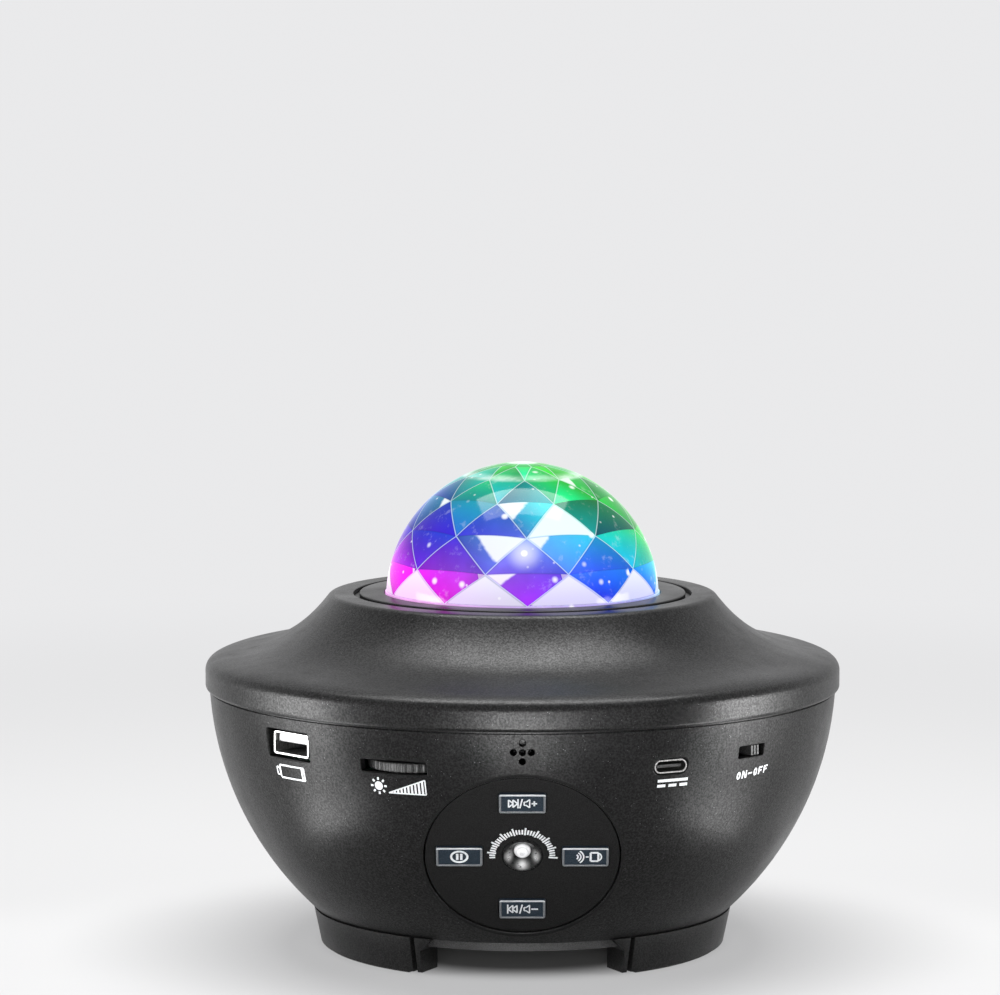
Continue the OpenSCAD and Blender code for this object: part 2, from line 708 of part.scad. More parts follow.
// Bright cup round the infrared window
module ir_reflector() color("silver") on_panel() rotate_extrude() polygon([
    [window_r + 0.1, panel_back - cup_t], [cup_r + 1, panel_back - cup_t], [cup_r + 1, panel_back - button_gap],
    [cup_r, panel_back - button_gap], [cup_r, -panel_drop], [cup_r - 0.5, -panel_drop],
    [window_r + 0.1, panel_back - panel_drop]]);

module ir_window() color([0.75, 0.75, 0.8]) on_panel() {
    translate([0, 0, panel_back - fit - 2]) cylinder(r = window_r, h = 2);
    intersection() {
        translate([0, 0, panel_back - fit]) cylinder(r = window_r, h = window_r);
        translate([0, 0, panel_back - over]) sphere(r = window_dome_r, $fn = 48);
    }
}

module ir_receiver() color([0.15, 0.12, 0.12]) on_panel() {
    top = panel_back - fit - 2 - 0.1;
    translate([-receiver_size / 2, -receiver_size / 2, button_board_top])
        cube([receiver_size, receiver_size, top - button_board_top]);
}

// ---------------------------------------------------------------- main board and ports

module sector(r, half, h) intersection() {
    cylinder(r = r, h = h, $fn = 128);
    translate([0, 0, -over]) linear_extrude(height = h + 2 * over)
        polygon([[0, 0], for (i = [-4:4]) 2 * r * [sin(i * half / 4), -cos(i * half / 4)]]);
}

module main_board() color([0.05, 0.3, 0.15]) difference() {
    translate([0, 0, board_low]) sector(board_r, board_half, board_t);
    translate([0, 0, board_low - over]) cylinder(r = board_in_r, h = board_t + 2 * over, $fn = 96);
    translate([0, 0, board_low - over]) difference() {
        sector(2 * board_r, board_notch_half, board_t + 2 * over);
        translate([0, 0, -over]) cylinder(r = board_notch_r, h = board_t + 4 * over, $fn = 96);
    }
    spots(board_post_az, board_post_r) translate([0, 0, board_low - over])
        cylinder(d = small_shank_d + 2 * fit, h = board_t + 2 * over);
    spots([wheel_az], wheel_r) translate([0, 0, board_low - over])
        cylinder(d = shaft_d + 2 + 2 * fit, h = board_t + 2 * over);
}

// Wireless module, power coil, capacitors and amplifier on the main board
module board_chips() color([0.15, 0.15, 0.16]) translate([0, 0, board_top]) {
    chip(0, sound_chip);
    chip(24, radio_chip);
    chip(-42, power_chip);
    spots([50], board_in_r + 10) cylinder(d = large_can.x, h = large_can.y);
    spots([-57, 37], board_in_r + 7) cylinder(d = small_can.x, h = small_can.y);
}

module chip(az, size)
    around(az) translate([-size.x / 2, -board_in_r - 6 - size.y / 2, 0]) cube(size);

module board_screws() color("silver") spots(board_post_az, board_post_r)
    translate([0, 0, board_top]) mirror([0, 0, 1]) screw(small_head, small_shank_d, board_screw_len);

// A socket's frame: x along the wall, y up, z out of the wall, zero at its mouth
module at_port(az, r, z) around(az) translate([0, -r, z]) rotate([90, 0, 0]) children();

module usb_a_shell() color("silver") at_port(usb_a_az, usb_a_front, usb_a_z)
    translate([0, 0, -usb_a_len]) linear_extrude(height = usb_a_len) difference() {
        rounded(usb_a_w, usb_a_h, 0.8);
        rounded(usb_a_w - 2 * usb_a_wall, usb_a_h - 2 * usb_a_wall, 0.5);
    }

module usb_a_insulator() color([0.9, 0.9, 0.88]) at_port(usb_a_az, usb_a_front, usb_a_z) {
    foot = usb_a_z - board_top;
    low = -usb_a_len - usb_a_back;
    block(-usb_a_w / 2, -foot, low, [usb_a_w, foot + usb_a_h / 2, usb_a_back]);
    block(-usb_a_w / 2, -foot, low, [usb_a_w, foot - usb_a_h / 2, usb_a_len - 4]);
    block(-usb_a_tongue.x / 2, 0.3, low + usb_a_back / 2, [usb_a_tongue.x, usb_a_tongue.y, usb_a_len - 0.2]);
}

module usb_c_shell() color("silver") at_port(usb_c_az, usb_c_front, usb_c_z)
    translate([0, 0, -usb_c_len]) linear_extrude(height = usb_c_len) difference() {
        stadium(usb_c_w, usb_c_h);
        stadium(usb_c_w - 2 * usb_c_wall, usb_c_h - 2 * usb_c_wall);
    }

module usb_c_insulator() color([0.1, 0.1, 0.1]) at_port(usb_c_az, usb_c_front, usb_c_z) {
    translate([0, 0, -usb_c_len]) linear_extrude(height = usb_c_back)
        stadium(usb_c_w - 2 * (usb_c_wall + snug), usb_c_h - 2 * (usb_c_wall + snug));
    block(-usb_c_tongue.x / 2, -usb_c_tongue.y / 2, 0.5 - usb_c_len,
        [usb_c_tongue.x, usb_c_tongue.y, usb_c_len - 1.3]);
}

// Ridged wheel with its shaft below
module dimmer_wheel() color([0.1, 0.1, 0.1]) spots([wheel_az], wheel_r) {
    step = 180 / dimmer_ridges;
    translate([0, 0, wheel_low]) linear_extrude(height = dimmer_t) polygon([
        for (i = [0:dimmer_ridges - 1], k = [0:3])
            let (a = (2 * i + k / 2) * step, r = (k < 2) ? dimmer_r : dimmer_r - wheel_ridge)
            r * [cos(a), sin(a)]]);
    translate([0, 0, board_low - 2]) cylinder(d = shaft_d, h = wheel_low - board_low + 2.2);
}

module dimmer_pot() color([0.3, 0.3, 0.32]) spots([wheel_az], wheel_r) difference() {
    union() {
        translate([-pot_size / 2, -pot_size / 2 + pot_offset, board_low - pot_t])
            cube([pot_size, pot_size, pot_t]);
        translate([0, 0, board_low - 1]) cylinder(d = shaft_d + 2, h = board_t + 1.1);
    }
    translate([0, 0, board_low - 2.4]) cylinder(d = shaft_d + 2 * run, h = board_t + 2.4 + 2 * over);
}

module slide_switch() color("silver") at_port(switch_az, switch_front, switch_z) difference() {
    block(-switch_body.x / 2, board_top - switch_z, -switch_body.z, switch_body);
    block(-switch_bore.x / 2, -switch_bore.y / 2, -switch_bore.z, switch_bore + [0, 0, over]);
}

module slide_knob() color([0.12, 0.12, 0.12]) at_port(switch_az, switch_front, switch_z)
    translate([knob_x - knob_w / 2, -knob_h / 2, -knob_foot]) {
        reach = knob_foot + bowl_out(switch_z) - switch_front - knob_inset;
        difference() {
            cube([knob_w, knob_h, reach]);
            // Thumb grooves
            for (k = [1, 2])
                translate([k * (knob_w + knob_groove) / 3 - knob_groove, -over, reach - knob_groove])
                    cube([knob_groove, knob_h + 2 * over, over]);
        }
    }

module microphone() color("silver") around(0)
    translate([0, -bowl_in(mic_z) + fit + 0.1, mic_z]) rotate([-90, 0, 0]) cylinder(d = mic_d, h = mic_len);

// ---------------------------------------------------------------- light engine

// Outline of a spur gear whose tooth 0 points along +X
function gear_outline(teeth) =
    let (pitch_r = gear_module * teeth / 2,
         half = PI * gear_module / 4 - gear_play / 2,
         rise = 0.85 * gear_module,
         dip = 1.1 * gear_module,
         lean = tan(20),
         tip = (half - rise * lean) / (pitch_r + rise) * 180 / PI,
         root = (half + dip * lean) / (pitch_r - dip) * 180 / PI)
    [for (i = [0:teeth - 1], k = [0:3])
        let (a = i * 360 / teeth + [-root, -tip, tip, root][k],
             r = pitch_r + [-dip, rise, rise, -dip][k])
        r * [cos(a), sin(a)]];

module toward(dir, reach) rotate([0, 0, dir]) translate([reach, 0, 0]) rotate([0, 0, -dir]) children();

module bridge_plate() color([0.15, 0.15, 0.16]) difference() {
    translate([0, 0, bridge_low]) cylinder(r = bridge_r, h = bridge_t, $fn = 96);
    translate([0, 0, bridge_low - over]) {
        cylinder(d = spindle_d + 2 * snug, h = bridge_t + 2 * over);
        toward(motor_dir, pinion_reach) cylinder(d = motor_collar_d + 2 * fit, h = bridge_t + 2 * over);
        for (side = [-1, 1]) toward(motor_dir, pinion_reach) rotate([0, 0, motor_dir + 90])
            translate([side * motor_screw_reach, 0, 0])
                cylinder(d = motor_shank_d + 2 * fit, h = bridge_t + 2 * over);
        toward(star_dir, star_reach) cylinder(d = star_pin_d + 2 * snug, h = bridge_t + 2 * over);
        toward(star_dir, laser_reach) cylinder(d = laser_d + 2 * snug, h = bridge_t + 2 * over);
        spots(bridge_post_az, bridge_post_r) cylinder(d = large_shank_d + 2 * fit, h = bridge_t + 2 * over);
        // Cable slots
        for (az = [0, 180]) around(az) translate([-cable_slot.x / 2, -bridge_r + 7, 0])
            cube([cable_slot.x, cable_slot.y, bridge_t + 2 * over]);
    }
}

module bridge_screws() color("silver") spots(bridge_post_az, bridge_post_r)
    translate([0, 0, bridge_low]) screw(large_head, large_shank_d, bridge_screw_len);

module heat_sink() color("silver") translate([0, 0, bridge_top]) difference() {
    cylinder(r = sink_r, h = sink_t);
    translate([0, 0, -over]) cylinder(d = spindle_d + 2 * fit, h = sink_t + 2 * over);
    for (k = [0:sink_slots - 1]) rotate([0, 0, k * 360 / sink_slots])
        translate([sink_r - sink_slot.x, -sink_slot.y / 2, -over])
            cube([sink_slot.x + over, sink_slot.y, sink_t + 2 * over]);
}

module led_board() color([0.92, 0.92, 0.9]) translate([0, 0, led_board_z]) difference() {
    cylinder(r = sink_r, h = led_board_t);
    translate([0, 0, -over]) cylinder(d = spindle_d + 2 * fit, h = led_board_t + 2 * over);
}

module colour_leds() color([0.95, 0.95, 0.8]) for (k = [0:led_spots - 1])
    rotate([0, 0, 45 + k * 360 / led_spots]) translate([led_reach, 0, led_z]) {
        translate([-led_size / 2, -led_size / 2, 0]) cube([led_size, led_size, 1]);
        intersection() {
            translate([0, 0, 0.5]) cylinder(d = led_lens_d, h = 1.6);
            translate([0, 0, -0.6]) sphere(d = led_lens_d + 0.8, $fn = 32);
        }
    }

// Clear toothed disc with shallow lenses that ripple the light
module ripple_disc() color([0.8, 0.85, 0.95, 0.6]) translate([0, 0, gear_low]) difference() {
    union() {
        linear_extrude(height = disc_t) rotate([0, 0, motor_dir]) polygon(gear_outline(disc_teeth));
        cylinder(d = spindle_d + 4, h = disc_t + 1.5);
        for (ring = [0, 1], k = [0:7 + 4 * ring]) rotate([0, 0, (k + ring / 2) * 360 / (8 + 4 * ring)])
            translate([8.2 + 6.2 * ring, 0, disc_t - lens_bump_r + 0.6]) intersection() {
                sphere(r = lens_bump_r, $fn = 48);
                translate([0, 0, lens_bump_r - 1]) cylinder(r = lens_bump_edge, h = 2);
            }
    }
    translate([0, 0, -over]) cylinder(r = spindle_d / 2 + run, h = disc_t + 4);
}

module disc_spindle() color("silver") {
    translate([0, 0, bridge_low - 0.8]) cylinder(d = spindle_d + 2, h = 0.8);
    translate([0, 0, bridge_low - 0.4]) cylinder(d = spindle_d, h = gear_low + disc_t + 2.4 - bridge_low);
    // Collar that the disc runs on
    translate([0, 0, led_z]) cylinder(d = spindle_d + 2, h = gear_low - led_z - 0.3);
}

module gear_motor() color([0.6, 0.6, 0.62]) toward(motor_dir, pinion_reach) difference() {
    union() {
        translate([0, 0, bridge_low - motor_len]) cylinder(d = motor_d, h = motor_len);
        translate([0, 0, bridge_low - 1]) cylinder(d = motor_collar_d, h = bridge_t + 1.8);
    }
    translate([0, 0, bridge_low - 5]) cylinder(d = motor_shaft_d + 2 * run, h = 12);
    for (side = [-1, 1]) rotate([0, 0, motor_dir + 90])
        translate([side * motor_screw_reach, 0, bridge_low - motor_screw_hole])
            cylinder(d = motor_shank_d + 2 * snug, h = motor_screw_hole + over);
}

module motor_screws() color("silver") toward(motor_dir, pinion_reach) for (side = [-1, 1])
    rotate([0, 0, motor_dir + 90]) translate([side * motor_screw_reach, 0, bridge_top])
        mirror([0, 0, 1]) screw(motor_head, motor_shank_d, motor_screw_len);

module motor_pinion() color([0.9, 0.9, 0.86]) toward(motor_dir, pinion_reach) {
    translate([0, 0, gear_low - 0.2]) linear_extrude(height = disc_t + 0.4)
        rotate([0, 0, motor_dir + 180 + 180 / pinion_teeth]) polygon(gear_outline(pinion_teeth));
    translate([0, 0, bridge_low - 4.5]) cylinder(d = motor_shaft_d, h = gear_low + disc_t + 1 - bridge_low + 4.5);
}

module star_wheel() color([0.2, 0.6, 0.3, 0.7]) toward(star_dir, star_reach) difference() {
    union() {
        translate([0, 0, gear_low]) linear_extrude(height = disc_t)
            rotate([0, 0, star_dir + 180 + 180 / star_teeth]) polygon(gear_outline(star_teeth));
        translate([0, 0, gear_low - 1]) cylinder(d = star_pin_d + 2.4, h = disc_t + 2);
    }
    translate([0, 0, gear_low - 2]) cylinder(r = star_pin_d / 2 + run, h = disc_t + 4);
    // Seat of the grating film
    translate([0, 0, gear_low + disc_t - 0.6]) difference() {
        cylinder(r = 6, h = over);
        translate([0, 0, -over]) cylinder(d = star_pin_d + 2.4, h = 3 * over);
    }
}

module star_pin() color("silver") toward(star_dir, star_reach) {
    translate([0, 0, bridge_low - 0.8]) cylinder(d = star_pin_d + 2, h = 0.8);
    translate([0, 0, bridge_low - 0.4]) cylinder(d = star_pin_d, h = gear_low + disc_t + 1.6 - bridge_low);
    translate([0, 0, bridge_top]) cylinder(d = star_pin_d + 1.8, h = gear_low - bridge_top - 1.3);
}

module laser_tube() color([0.72, 0.56, 0.25]) toward(star_dir, laser_reach) difference() {
    translate([0, 0, laser_low]) cylinder(d = laser_d, h = laser_top - laser_low);
    translate([0, 0, laser_top - 2]) cylinder(d = laser_d - 2, h = 2 + over);
}

module laser_lens() color([0.3, 0.8, 0.4, 0.6]) toward(star_dir, laser_reach)
    translate([0, 0, laser_top - 2]) cylinder(d = laser_d - 2 - 2 * snug, h = 1.2);

// ---------------------------------------------------------------- speaker

module speaker_gasket() color([0.1, 0.1, 0.1]) translate([0, 0, grille_top]) difference() {
    cylinder(r = speaker_r, h = gasket_t);
    translate([0, 0, -over]) cylinder(r = cone_r + 3.2, h = gasket_t + 2 * over);
}

module speaker_basket() color([0.2, 0.2, 0.22]) rotate_extrude() polygon([
    [cone_r + 3.2, basket_low], [speaker_r, basket_low], [speaker_r, basket_low + basket_t],
    [cone_r + 5, basket_low + basket_t], [magnet_r - 0.5, magnet_low], [coil_r + 0.6, magnet_low],
    [coil_r + 0.6, magnet_low - basket_t], [magnet_r - 1.5, magnet_low - basket_t],
    [cone_r + 3.2, basket_low + basket_t]]);

module speaker_magnet() color([0.35, 0.35, 0.37]) translate([0, 0, magnet_low]) difference() {
    cylinder(r = magnet_r, h = magnet_t);
    // Ring-shaped gap that the coil moves in, round the pole
    translate([0, 0, -over]) difference() {
        cylinder(r = coil_r + 0.4, h = magnet_t);
        cylinder(r = coil_r - coil_wall - 0.4, h = magnet_t + over);
    }
}

// Paper cone with its dust cap and the coil former that runs in the magnet
module speaker_cone() color([0.12, 0.12, 0.12]) {
    skin = 0.6;
    rotate_extrude() polygon([
        [cone_r, cone_low], [cone_r, cone_low + skin], [coil_r, cone_high + skin],
        [coil_r, magnet_low + 3], [coil_r - coil_wall, magnet_low + 3], [coil_r - coil_wall, cone_high],
        [coil_r - coil_wall, cone_high - 0.1], [cone_r - skin, cone_low]]);
    translate([0, 0, cone_high - 0.6]) cylinder(r = coil_r - coil_wall + 0.1, h = 0.6);
}

module speaker_surround() color([0.07, 0.07, 0.07]) rotate_extrude() polygon([
    [cone_r + 0.1, cone_low], [cone_r + 3, basket_low + 0.1], [cone_r + 3.1, basket_low + 0.6],
    [cone_r + 0.1, cone_low + 0.5]]);

// ---------------------------------------------------------------- draw

bowl_housing();
top_cover();
lens_ring();
dome_lens();
base_plate();
foot_left();
foot_right();
rubber_pads();
base_screws();
control_panel();
button_up();
button_down();
button_left();
button_right();
plunger_up();
plunger_down();
plunger_left();
plunger_right();
switch_bodies();
button_board();
button_board_screws();
ir_reflector();
ir_window();
ir_receiver();
main_board();
board_chips();
board_screws();
usb_a_shell();
usb_a_insulator();
usb_c_shell();
usb_c_insulator();
dimmer_wheel();
dimmer_pot();
slide_knob();
slide_switch();
microphone();
bridge_plate();
bridge_screws();
heat_sink();
led_board();
colour_leds();
ripple_disc();
disc_spindle();
gear_motor();
motor_screws();
motor_pinion();
star_wheel();
star_pin();
laser_tube();
laser_lens();
speaker_basket();
speaker_magnet();
speaker_cone();
speaker_surround();
speaker_gasket();
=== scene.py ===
"""Star night light projector: the looks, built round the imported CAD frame.

Lengths in the tables are millimetres and azimuths are degrees from the front, positive to the right.
"""

import colorsys
import json
import random
from math import asin, atan2, ceil, copysign, cos, degrees, exp, hypot, pi, radians, sin, sqrt

import bmesh
import bpy
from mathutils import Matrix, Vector

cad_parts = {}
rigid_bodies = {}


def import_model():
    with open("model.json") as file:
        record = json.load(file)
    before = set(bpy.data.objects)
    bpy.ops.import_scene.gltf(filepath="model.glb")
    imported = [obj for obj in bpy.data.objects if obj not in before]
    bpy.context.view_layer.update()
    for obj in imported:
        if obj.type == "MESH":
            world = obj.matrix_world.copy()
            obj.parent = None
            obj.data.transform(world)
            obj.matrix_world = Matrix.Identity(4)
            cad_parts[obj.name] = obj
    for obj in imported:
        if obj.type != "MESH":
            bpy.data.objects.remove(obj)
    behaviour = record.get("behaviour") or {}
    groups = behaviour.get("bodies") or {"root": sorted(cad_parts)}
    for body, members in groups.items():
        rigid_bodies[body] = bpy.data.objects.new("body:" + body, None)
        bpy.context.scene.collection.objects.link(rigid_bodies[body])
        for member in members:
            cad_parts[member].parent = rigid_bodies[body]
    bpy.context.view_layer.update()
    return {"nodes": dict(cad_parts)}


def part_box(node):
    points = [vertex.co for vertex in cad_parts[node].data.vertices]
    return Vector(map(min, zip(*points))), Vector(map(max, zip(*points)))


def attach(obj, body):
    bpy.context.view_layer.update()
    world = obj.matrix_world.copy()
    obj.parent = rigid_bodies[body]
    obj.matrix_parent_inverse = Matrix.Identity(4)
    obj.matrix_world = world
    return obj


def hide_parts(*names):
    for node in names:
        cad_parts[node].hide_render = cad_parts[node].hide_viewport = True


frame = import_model()
MM = 0.001

# ---- sizes, mostly those of the CAD source

BOWL_RIM_R, SEAM_Z, BOWL_FOOT_R, BOWL_ARC_R, WALL = 81.4, 66.8, 54.0, 84.0, 2.4
FOOT_H, FLOOR_OPEN_R = 9.7, 40.0
BRIM_R, BRIM_BAND, BRIM_FILLET, BRIM_TURN = 82.5, 5.2, 3.0, 60.0
FLARE_OUT, FLARE_IN, FLARE_SLOPE = 6.7, 20.4, 52.5
DECK_Z, DECK_R, DECK_FILLET, WELL_R, LEDGE_R = 91.6, 48.9, 2.2, 44.0, 36.8
SEAM_GAP, LEDGE_DROP = 0.4, 3
RING_IN_R, RING_R, RING_TOP = 36.0, 42.4, 91.8
DOME_R, DOME_SIDES, DOME_TURN = 35.5, 10, 2.0
DOME_C = DECK_Z - 1.65
BAND_R, BAND_TOP = 35.7, 92.1
FOOT_IN_R, FOOT_LOW_R, FOOT_HIGH_R, FOOT_GAP_HALF = 45.0, 52.7, 54.6, 28.5
PAD_PROUD, GUSSET, FOOT_GROOVE_END, FOOT_GROOVE_W, FOOT_GROOVE_D = 0.6, 3.4, 1.4, 1.3, 1.9
PLATE_R, PLATE_LOW = 52.0, 7.3
FLAT_D, FLAT_Z = 50.8, 34.3
PANEL_R, PANEL_T, PANEL_DROP = 24.0, 1.8, 0.3
BUTTON_W, BUTTON_H, BUTTON_TOP, BUTTON_DISH = 11.4, 5.7, 0.35, 0.25
STEM_R, STEM_END = 1.7, -4.6
REACH_X, REACH_Y = 15.5, 16.5
CUP_R, CUP_FLANGE_R, CUP_THROAT_R = 4.8, 5.8, 2.2
DIMMER_AZ, SLOT_Z = -23.2, 57.4
# Set finer than in the CAD source: the wheel, its slot and the microphone holes
WHEEL_R, WHEEL_T, WHEEL_PROUD, WHEEL_TURN, WHEEL_RIDGES, SHAFT_R = 12.2, 2.3, 0.6, 1.2, 44, 2.5
MIC_Z, MIC_STEP_Z, MIC_STEP_AZ, MIC_HOLE_D, MIC_EDGE = 62.2, 2.3, 1.55, 1.6, 0.2
# Windows in the bowl: azimuth, height of the middle, width, height, corner and edge radius
WINDOWS = {
    "usb_a": (-46.5, 59.95, 15.5, 7.2, 0.4, 0.35),
    "slot": (DIMMER_AZ, SLOT_Z, 17.7, 3.0, 0.4, 0.3),
    "usb_c": (27.0, 57.3, 9.7, 4.0, 2.0, 0.3),
    "switch": (45.0, 58.8, 9.2, 3.0, 0.4, 0.3),
}
WINDOW_DEPTH = 8
PANEL_BACK = -PANEL_DROP - PANEL_T

# ---- plane geometry


def arc(centre, r, a0, a1, n):
    """Points on an arc, angles in degrees."""
    turns = [radians(a0 + (a1 - a0) * i / n) for i in range(n + 1)]
    return [(centre[0] + r * cos(t), centre[1] + r * sin(t)) for t in turns]


def arc_centre(p, q, r):
    """Centre of the arc of radius r from p down to q, on the side of the axis."""
    half = ((p[0] - q[0]) / 2, (p[1] - q[1]) / 2)
    size = hypot(*half)
    rise = sqrt(r * r - size * size)
    return ((p[0] + q[0]) / 2 - rise * half[1] / size, (p[1] + q[1]) / 2 + rise * half[0] / size)


def circle(r, n):
    return arc((0, 0), r, 0, 360 - 360 / n, n - 1)


def polar(a, r, z):
    """The point at an azimuth in radians, a radius and a height."""
    return Vector((r * sin(a), -r * cos(a), z))


def lerp(a, b, t):
    return tuple(x + (y - x) * t for x, y in zip(a, b))


def bezier(p, t):
    s = 1 - t
    w = (s**3, 3 * s * s * t, 3 * s * t * t, t**3)
    return tuple(sum(k * q[i] for k, q in zip(w, p)) for i in (0, 1))


def bezier_inset(p, t, d):
    """The same curve, set in by d towards the inside of the body."""
    a, b = bezier(p, max(t - 0.01, 0)), bezier(p, min(t + 0.01, 1))
    way = (b[0] - a[0], b[1] - a[1])
    size = hypot(*way)
    x, z = bezier(p, t)
    return (x - d * way[1] / size, z + d * way[0] / size)


BOWL_C = arc_centre((BOWL_RIM_R, SEAM_Z), (BOWL_FOOT_R, FOOT_H), BOWL_ARC_R)


def bowl_r(z, arc_r=BOWL_ARC_R):
    """Radius of the bowl's outside at a height."""
    return BOWL_C[0] + sqrt(arc_r**2 - (BOWL_C[1] - z) ** 2)


def bowl_angle(z, arc_r=BOWL_ARC_R):
    return degrees(asin((z - BOWL_C[1]) / arc_r))


FLAT_DIST = sqrt(BOWL_ARC_R**2 - (FLAT_D / 2) ** 2)
FLAT_TILT = asin((BOWL_C[1] - FLAT_Z) / FLAT_DIST)
FLAT_C = (BOWL_C[0] + FLAT_DIST * cos(FLAT_TILT), FLAT_Z)
PANEL_OUT = Vector((0, -cos(FLAT_TILT), -sin(FLAT_TILT)))
PANEL_UP = Vector((0, -sin(FLAT_TILT), cos(FLAT_TILT)))


def on_panel(u, v, h):
    """Panel frame: u to the right, v up the panel, h out of it, zero on the flat."""
    return Vector((u, -FLAT_C[0], FLAT_C[1])) + PANEL_UP * v + PANEL_OUT * h


def on_bowl(az, z):
    """Places (u, v, h) on the bowl round a point: u along the wall, v up, h out of its surface."""
    a = radians(az)
    side = Vector((cos(a), sin(a), 0))

    def place(u, v, h):
        return polar(a, sqrt(bowl_r(z + v) ** 2 - u * u) + h, z + v) + side * u

    return place


def outline(w, h, corner):
    """A rounded rectangle, anticlockwise from the right."""
    corner = min(corner, w / 2, h / 2)
    points = []
    for sx, sy, start in ((1, 1, 0), (-1, 1, 90), (-1, -1, 180), (1, -1, 270)):
        centre = (sx * (w / 2 - corner), sy * (h / 2 - corner))
        points += arc(centre, corner, start, start + 90, 8)
    return points


# ---- mesh building

WELD = 0.0005


def having(thing, **values):
    """The thing with these properties set."""
    for key, value in values.items():
        setattr(thing, key, value)
    return thing


def linked(name, data):
    """A new object in the scene."""
    made = bpy.data.objects.new(name, data)
    bpy.context.scene.collection.objects.link(made)
    return made


def mesh_piece(name, points, faces, material=None, angle=35):
    """A mesh object from points in millimetres."""
    mesh = bpy.data.meshes.new(name)
    mesh.from_pydata([Vector(p) * MM for p in points], [], faces)
    mesh.validate()
    piece = linked(name, mesh)
    tidy_mesh(piece, angle)
    if material:
        mesh.materials.append(MATERIAL[material])
    return piece


def smooth(mesh, angle=35):
    """Smooth except over edges that are sharper than the angle."""
    mesh.shade_smooth()
    mesh.set_sharp_from_angle(angle=radians(angle))


def tidy_mesh(piece, angle=35):
    """Faces outwards, welded, and smooth except over sharp edges."""
    bm = bmesh.new()
    bm.from_mesh(piece.data)
    bmesh.ops.remove_doubles(bm, verts=bm.verts, dist=WELD * MM)
    bmesh.ops.recalc_face_normals(bm, faces=bm.faces)
    bm.to_mesh(piece.data)
    bm.free()
    smooth(piece.data, angle)


def turned(name, profile, place, steps, material, angle=35):
    """A closed profile turned round an axis; place() takes a turn in radians and a profile point."""
    n = len(profile)
    points = [place(2 * pi * s / steps, *p) for s in range(steps) for p in profile]
    faces = [
        (s * n + i, s * n + (i + 1) % n, (s + 1) % steps * n + (i + 1) % n, (s + 1) % steps * n + i)
        for s in range(steps)
        for i in range(n)
    ]
    return mesh_piece(name, points, faces, material, angle)


def revolve(name, profile, material):
    """A closed profile of (radius, height) points turned round the object's axis."""
    return turned(name, profile, polar, 288, material)


def loft(name, rings, material=None, angle=35):
    """A closed solid through rings of equally many points, capped at both ends."""
    n = len(rings[0])
    points = [p for ring in rings for p in ring]
    faces = [
        (k * n + i, k * n + (i + 1) % n, (k + 1) * n + (i + 1) % n, (k + 1) * n + i)
        for k in range(len(rings) - 1)
        for i in range(n)
    ]
    faces += [tuple(range(n)), tuple(range(len(points) - n, len(points)))]
    return mesh_piece(name, points, faces, material, angle)


def stack(name, place, layers, w, h, corner, material=None):
    """A loft of one rounded rectangle, grown by each layer's first number at its second number's height."""
    rings = [
        [place(u, v, up) for u, v in outline(w + 2 * grow, h + 2 * grow, max(corner + grow, 0.05))]
        for grow, up in layers
    ]
    return loft(name, rings, material)


def rounded(r, height, way=1, turns=(0.4, 0.8, 1.2, pi / 2)):
    """Layers over a round edge of radius r that ends at a height; way is -1 for an outside edge."""
    return [(way * r * (1 - cos(t)), height - r * (1 - sin(t))) for t in turns]


def apply_modifiers(piece):
    bpy.context.view_layer.update()
    graph = bpy.context.evaluated_depsgraph_get()
    mesh = bpy.data.meshes.new_from_object(piece.evaluated_get(graph))
    piece.modifiers.clear()
    piece.data = mesh


def cut(piece, cutters):
    """Takes the cutters out of the piece and removes them."""
    for cutter in cutters:
        modifier = piece.modifiers.new(cutter.name, "BOOLEAN")
        having(modifier, operation="DIFFERENCE", solver="EXACT", object=cutter)
    apply_modifiers(piece)
    for cutter in cutters:
        bpy.data.objects.remove(cutter)


def joined(pieces):
    """The pieces as one object, the first."""
    for o in bpy.context.scene.objects:
        o.select_set(o in pieces)
    bpy.context.view_layer.objects.active = pieces[0]
    bpy.ops.object.join()
    return pieces[0]


def mouth(place, w, h, corner, edge, depth):
    """Cutter for an opening whose edge on the surface is rounded."""
    clear = edge * 1.02
    layers = [(0, -depth), (0, -edge)] + rounded(edge, 0, turns=[radians(18 * i) for i in range(1, 6)])
    return stack("cutter", place, layers + [(clear, 0.03), (clear, 2.0)], w, h, corner)


def paint_faces(piece, material, chosen):
    """Gives the faces whose middle is chosen a second material."""
    piece.data.materials.append(MATERIAL[material])
    for face in piece.data.polygons:
        if chosen(face.center / MM):
            face.material_index = len(piece.data.materials) - 1


def surface_normals(piece, normal_at):
    """Exact normals where the surface is the one that normal_at knows; it returns None elsewhere."""
    mesh = piece.data
    smooth(mesh)
    normals = [Vector(c.vector) for c in mesh.corner_normals]
    known = [normal_at(v.co / MM) for v in mesh.vertices]
    for face in mesh.polygons:
        found = [known[v] for v in face.vertices]
        if all(n is not None and n.dot(face.normal) > 0.9 for n in found):
            for loop, n in zip(face.loop_indices, found):
                normals[loop] = n
    mesh.normals_split_custom_set(normals)


# ---- flat shapes for legends

STROKE_STEP = 0.7


def bar(x0, y0, x1, y1, width):
    """A stroke from one point to another, in short stretches so that it can follow a curved wall."""
    length = hypot(x1 - x0, y1 - y0)
    n = max(1, ceil(length / STROKE_STEP))
    sx, sy = -(y1 - y0) / length * width / 2, (x1 - x0) / length * width / 2
    points = []
    for i in range(n + 1):
        x, y = x0 + (x1 - x0) * i / n, y0 + (y1 - y0) * i / n
        points += [(x + sx, y + sy), (x - sx, y - sy)]
    return points, [(2 * i, 2 * i + 1, 2 * i + 3, 2 * i + 2) for i in range(n)]


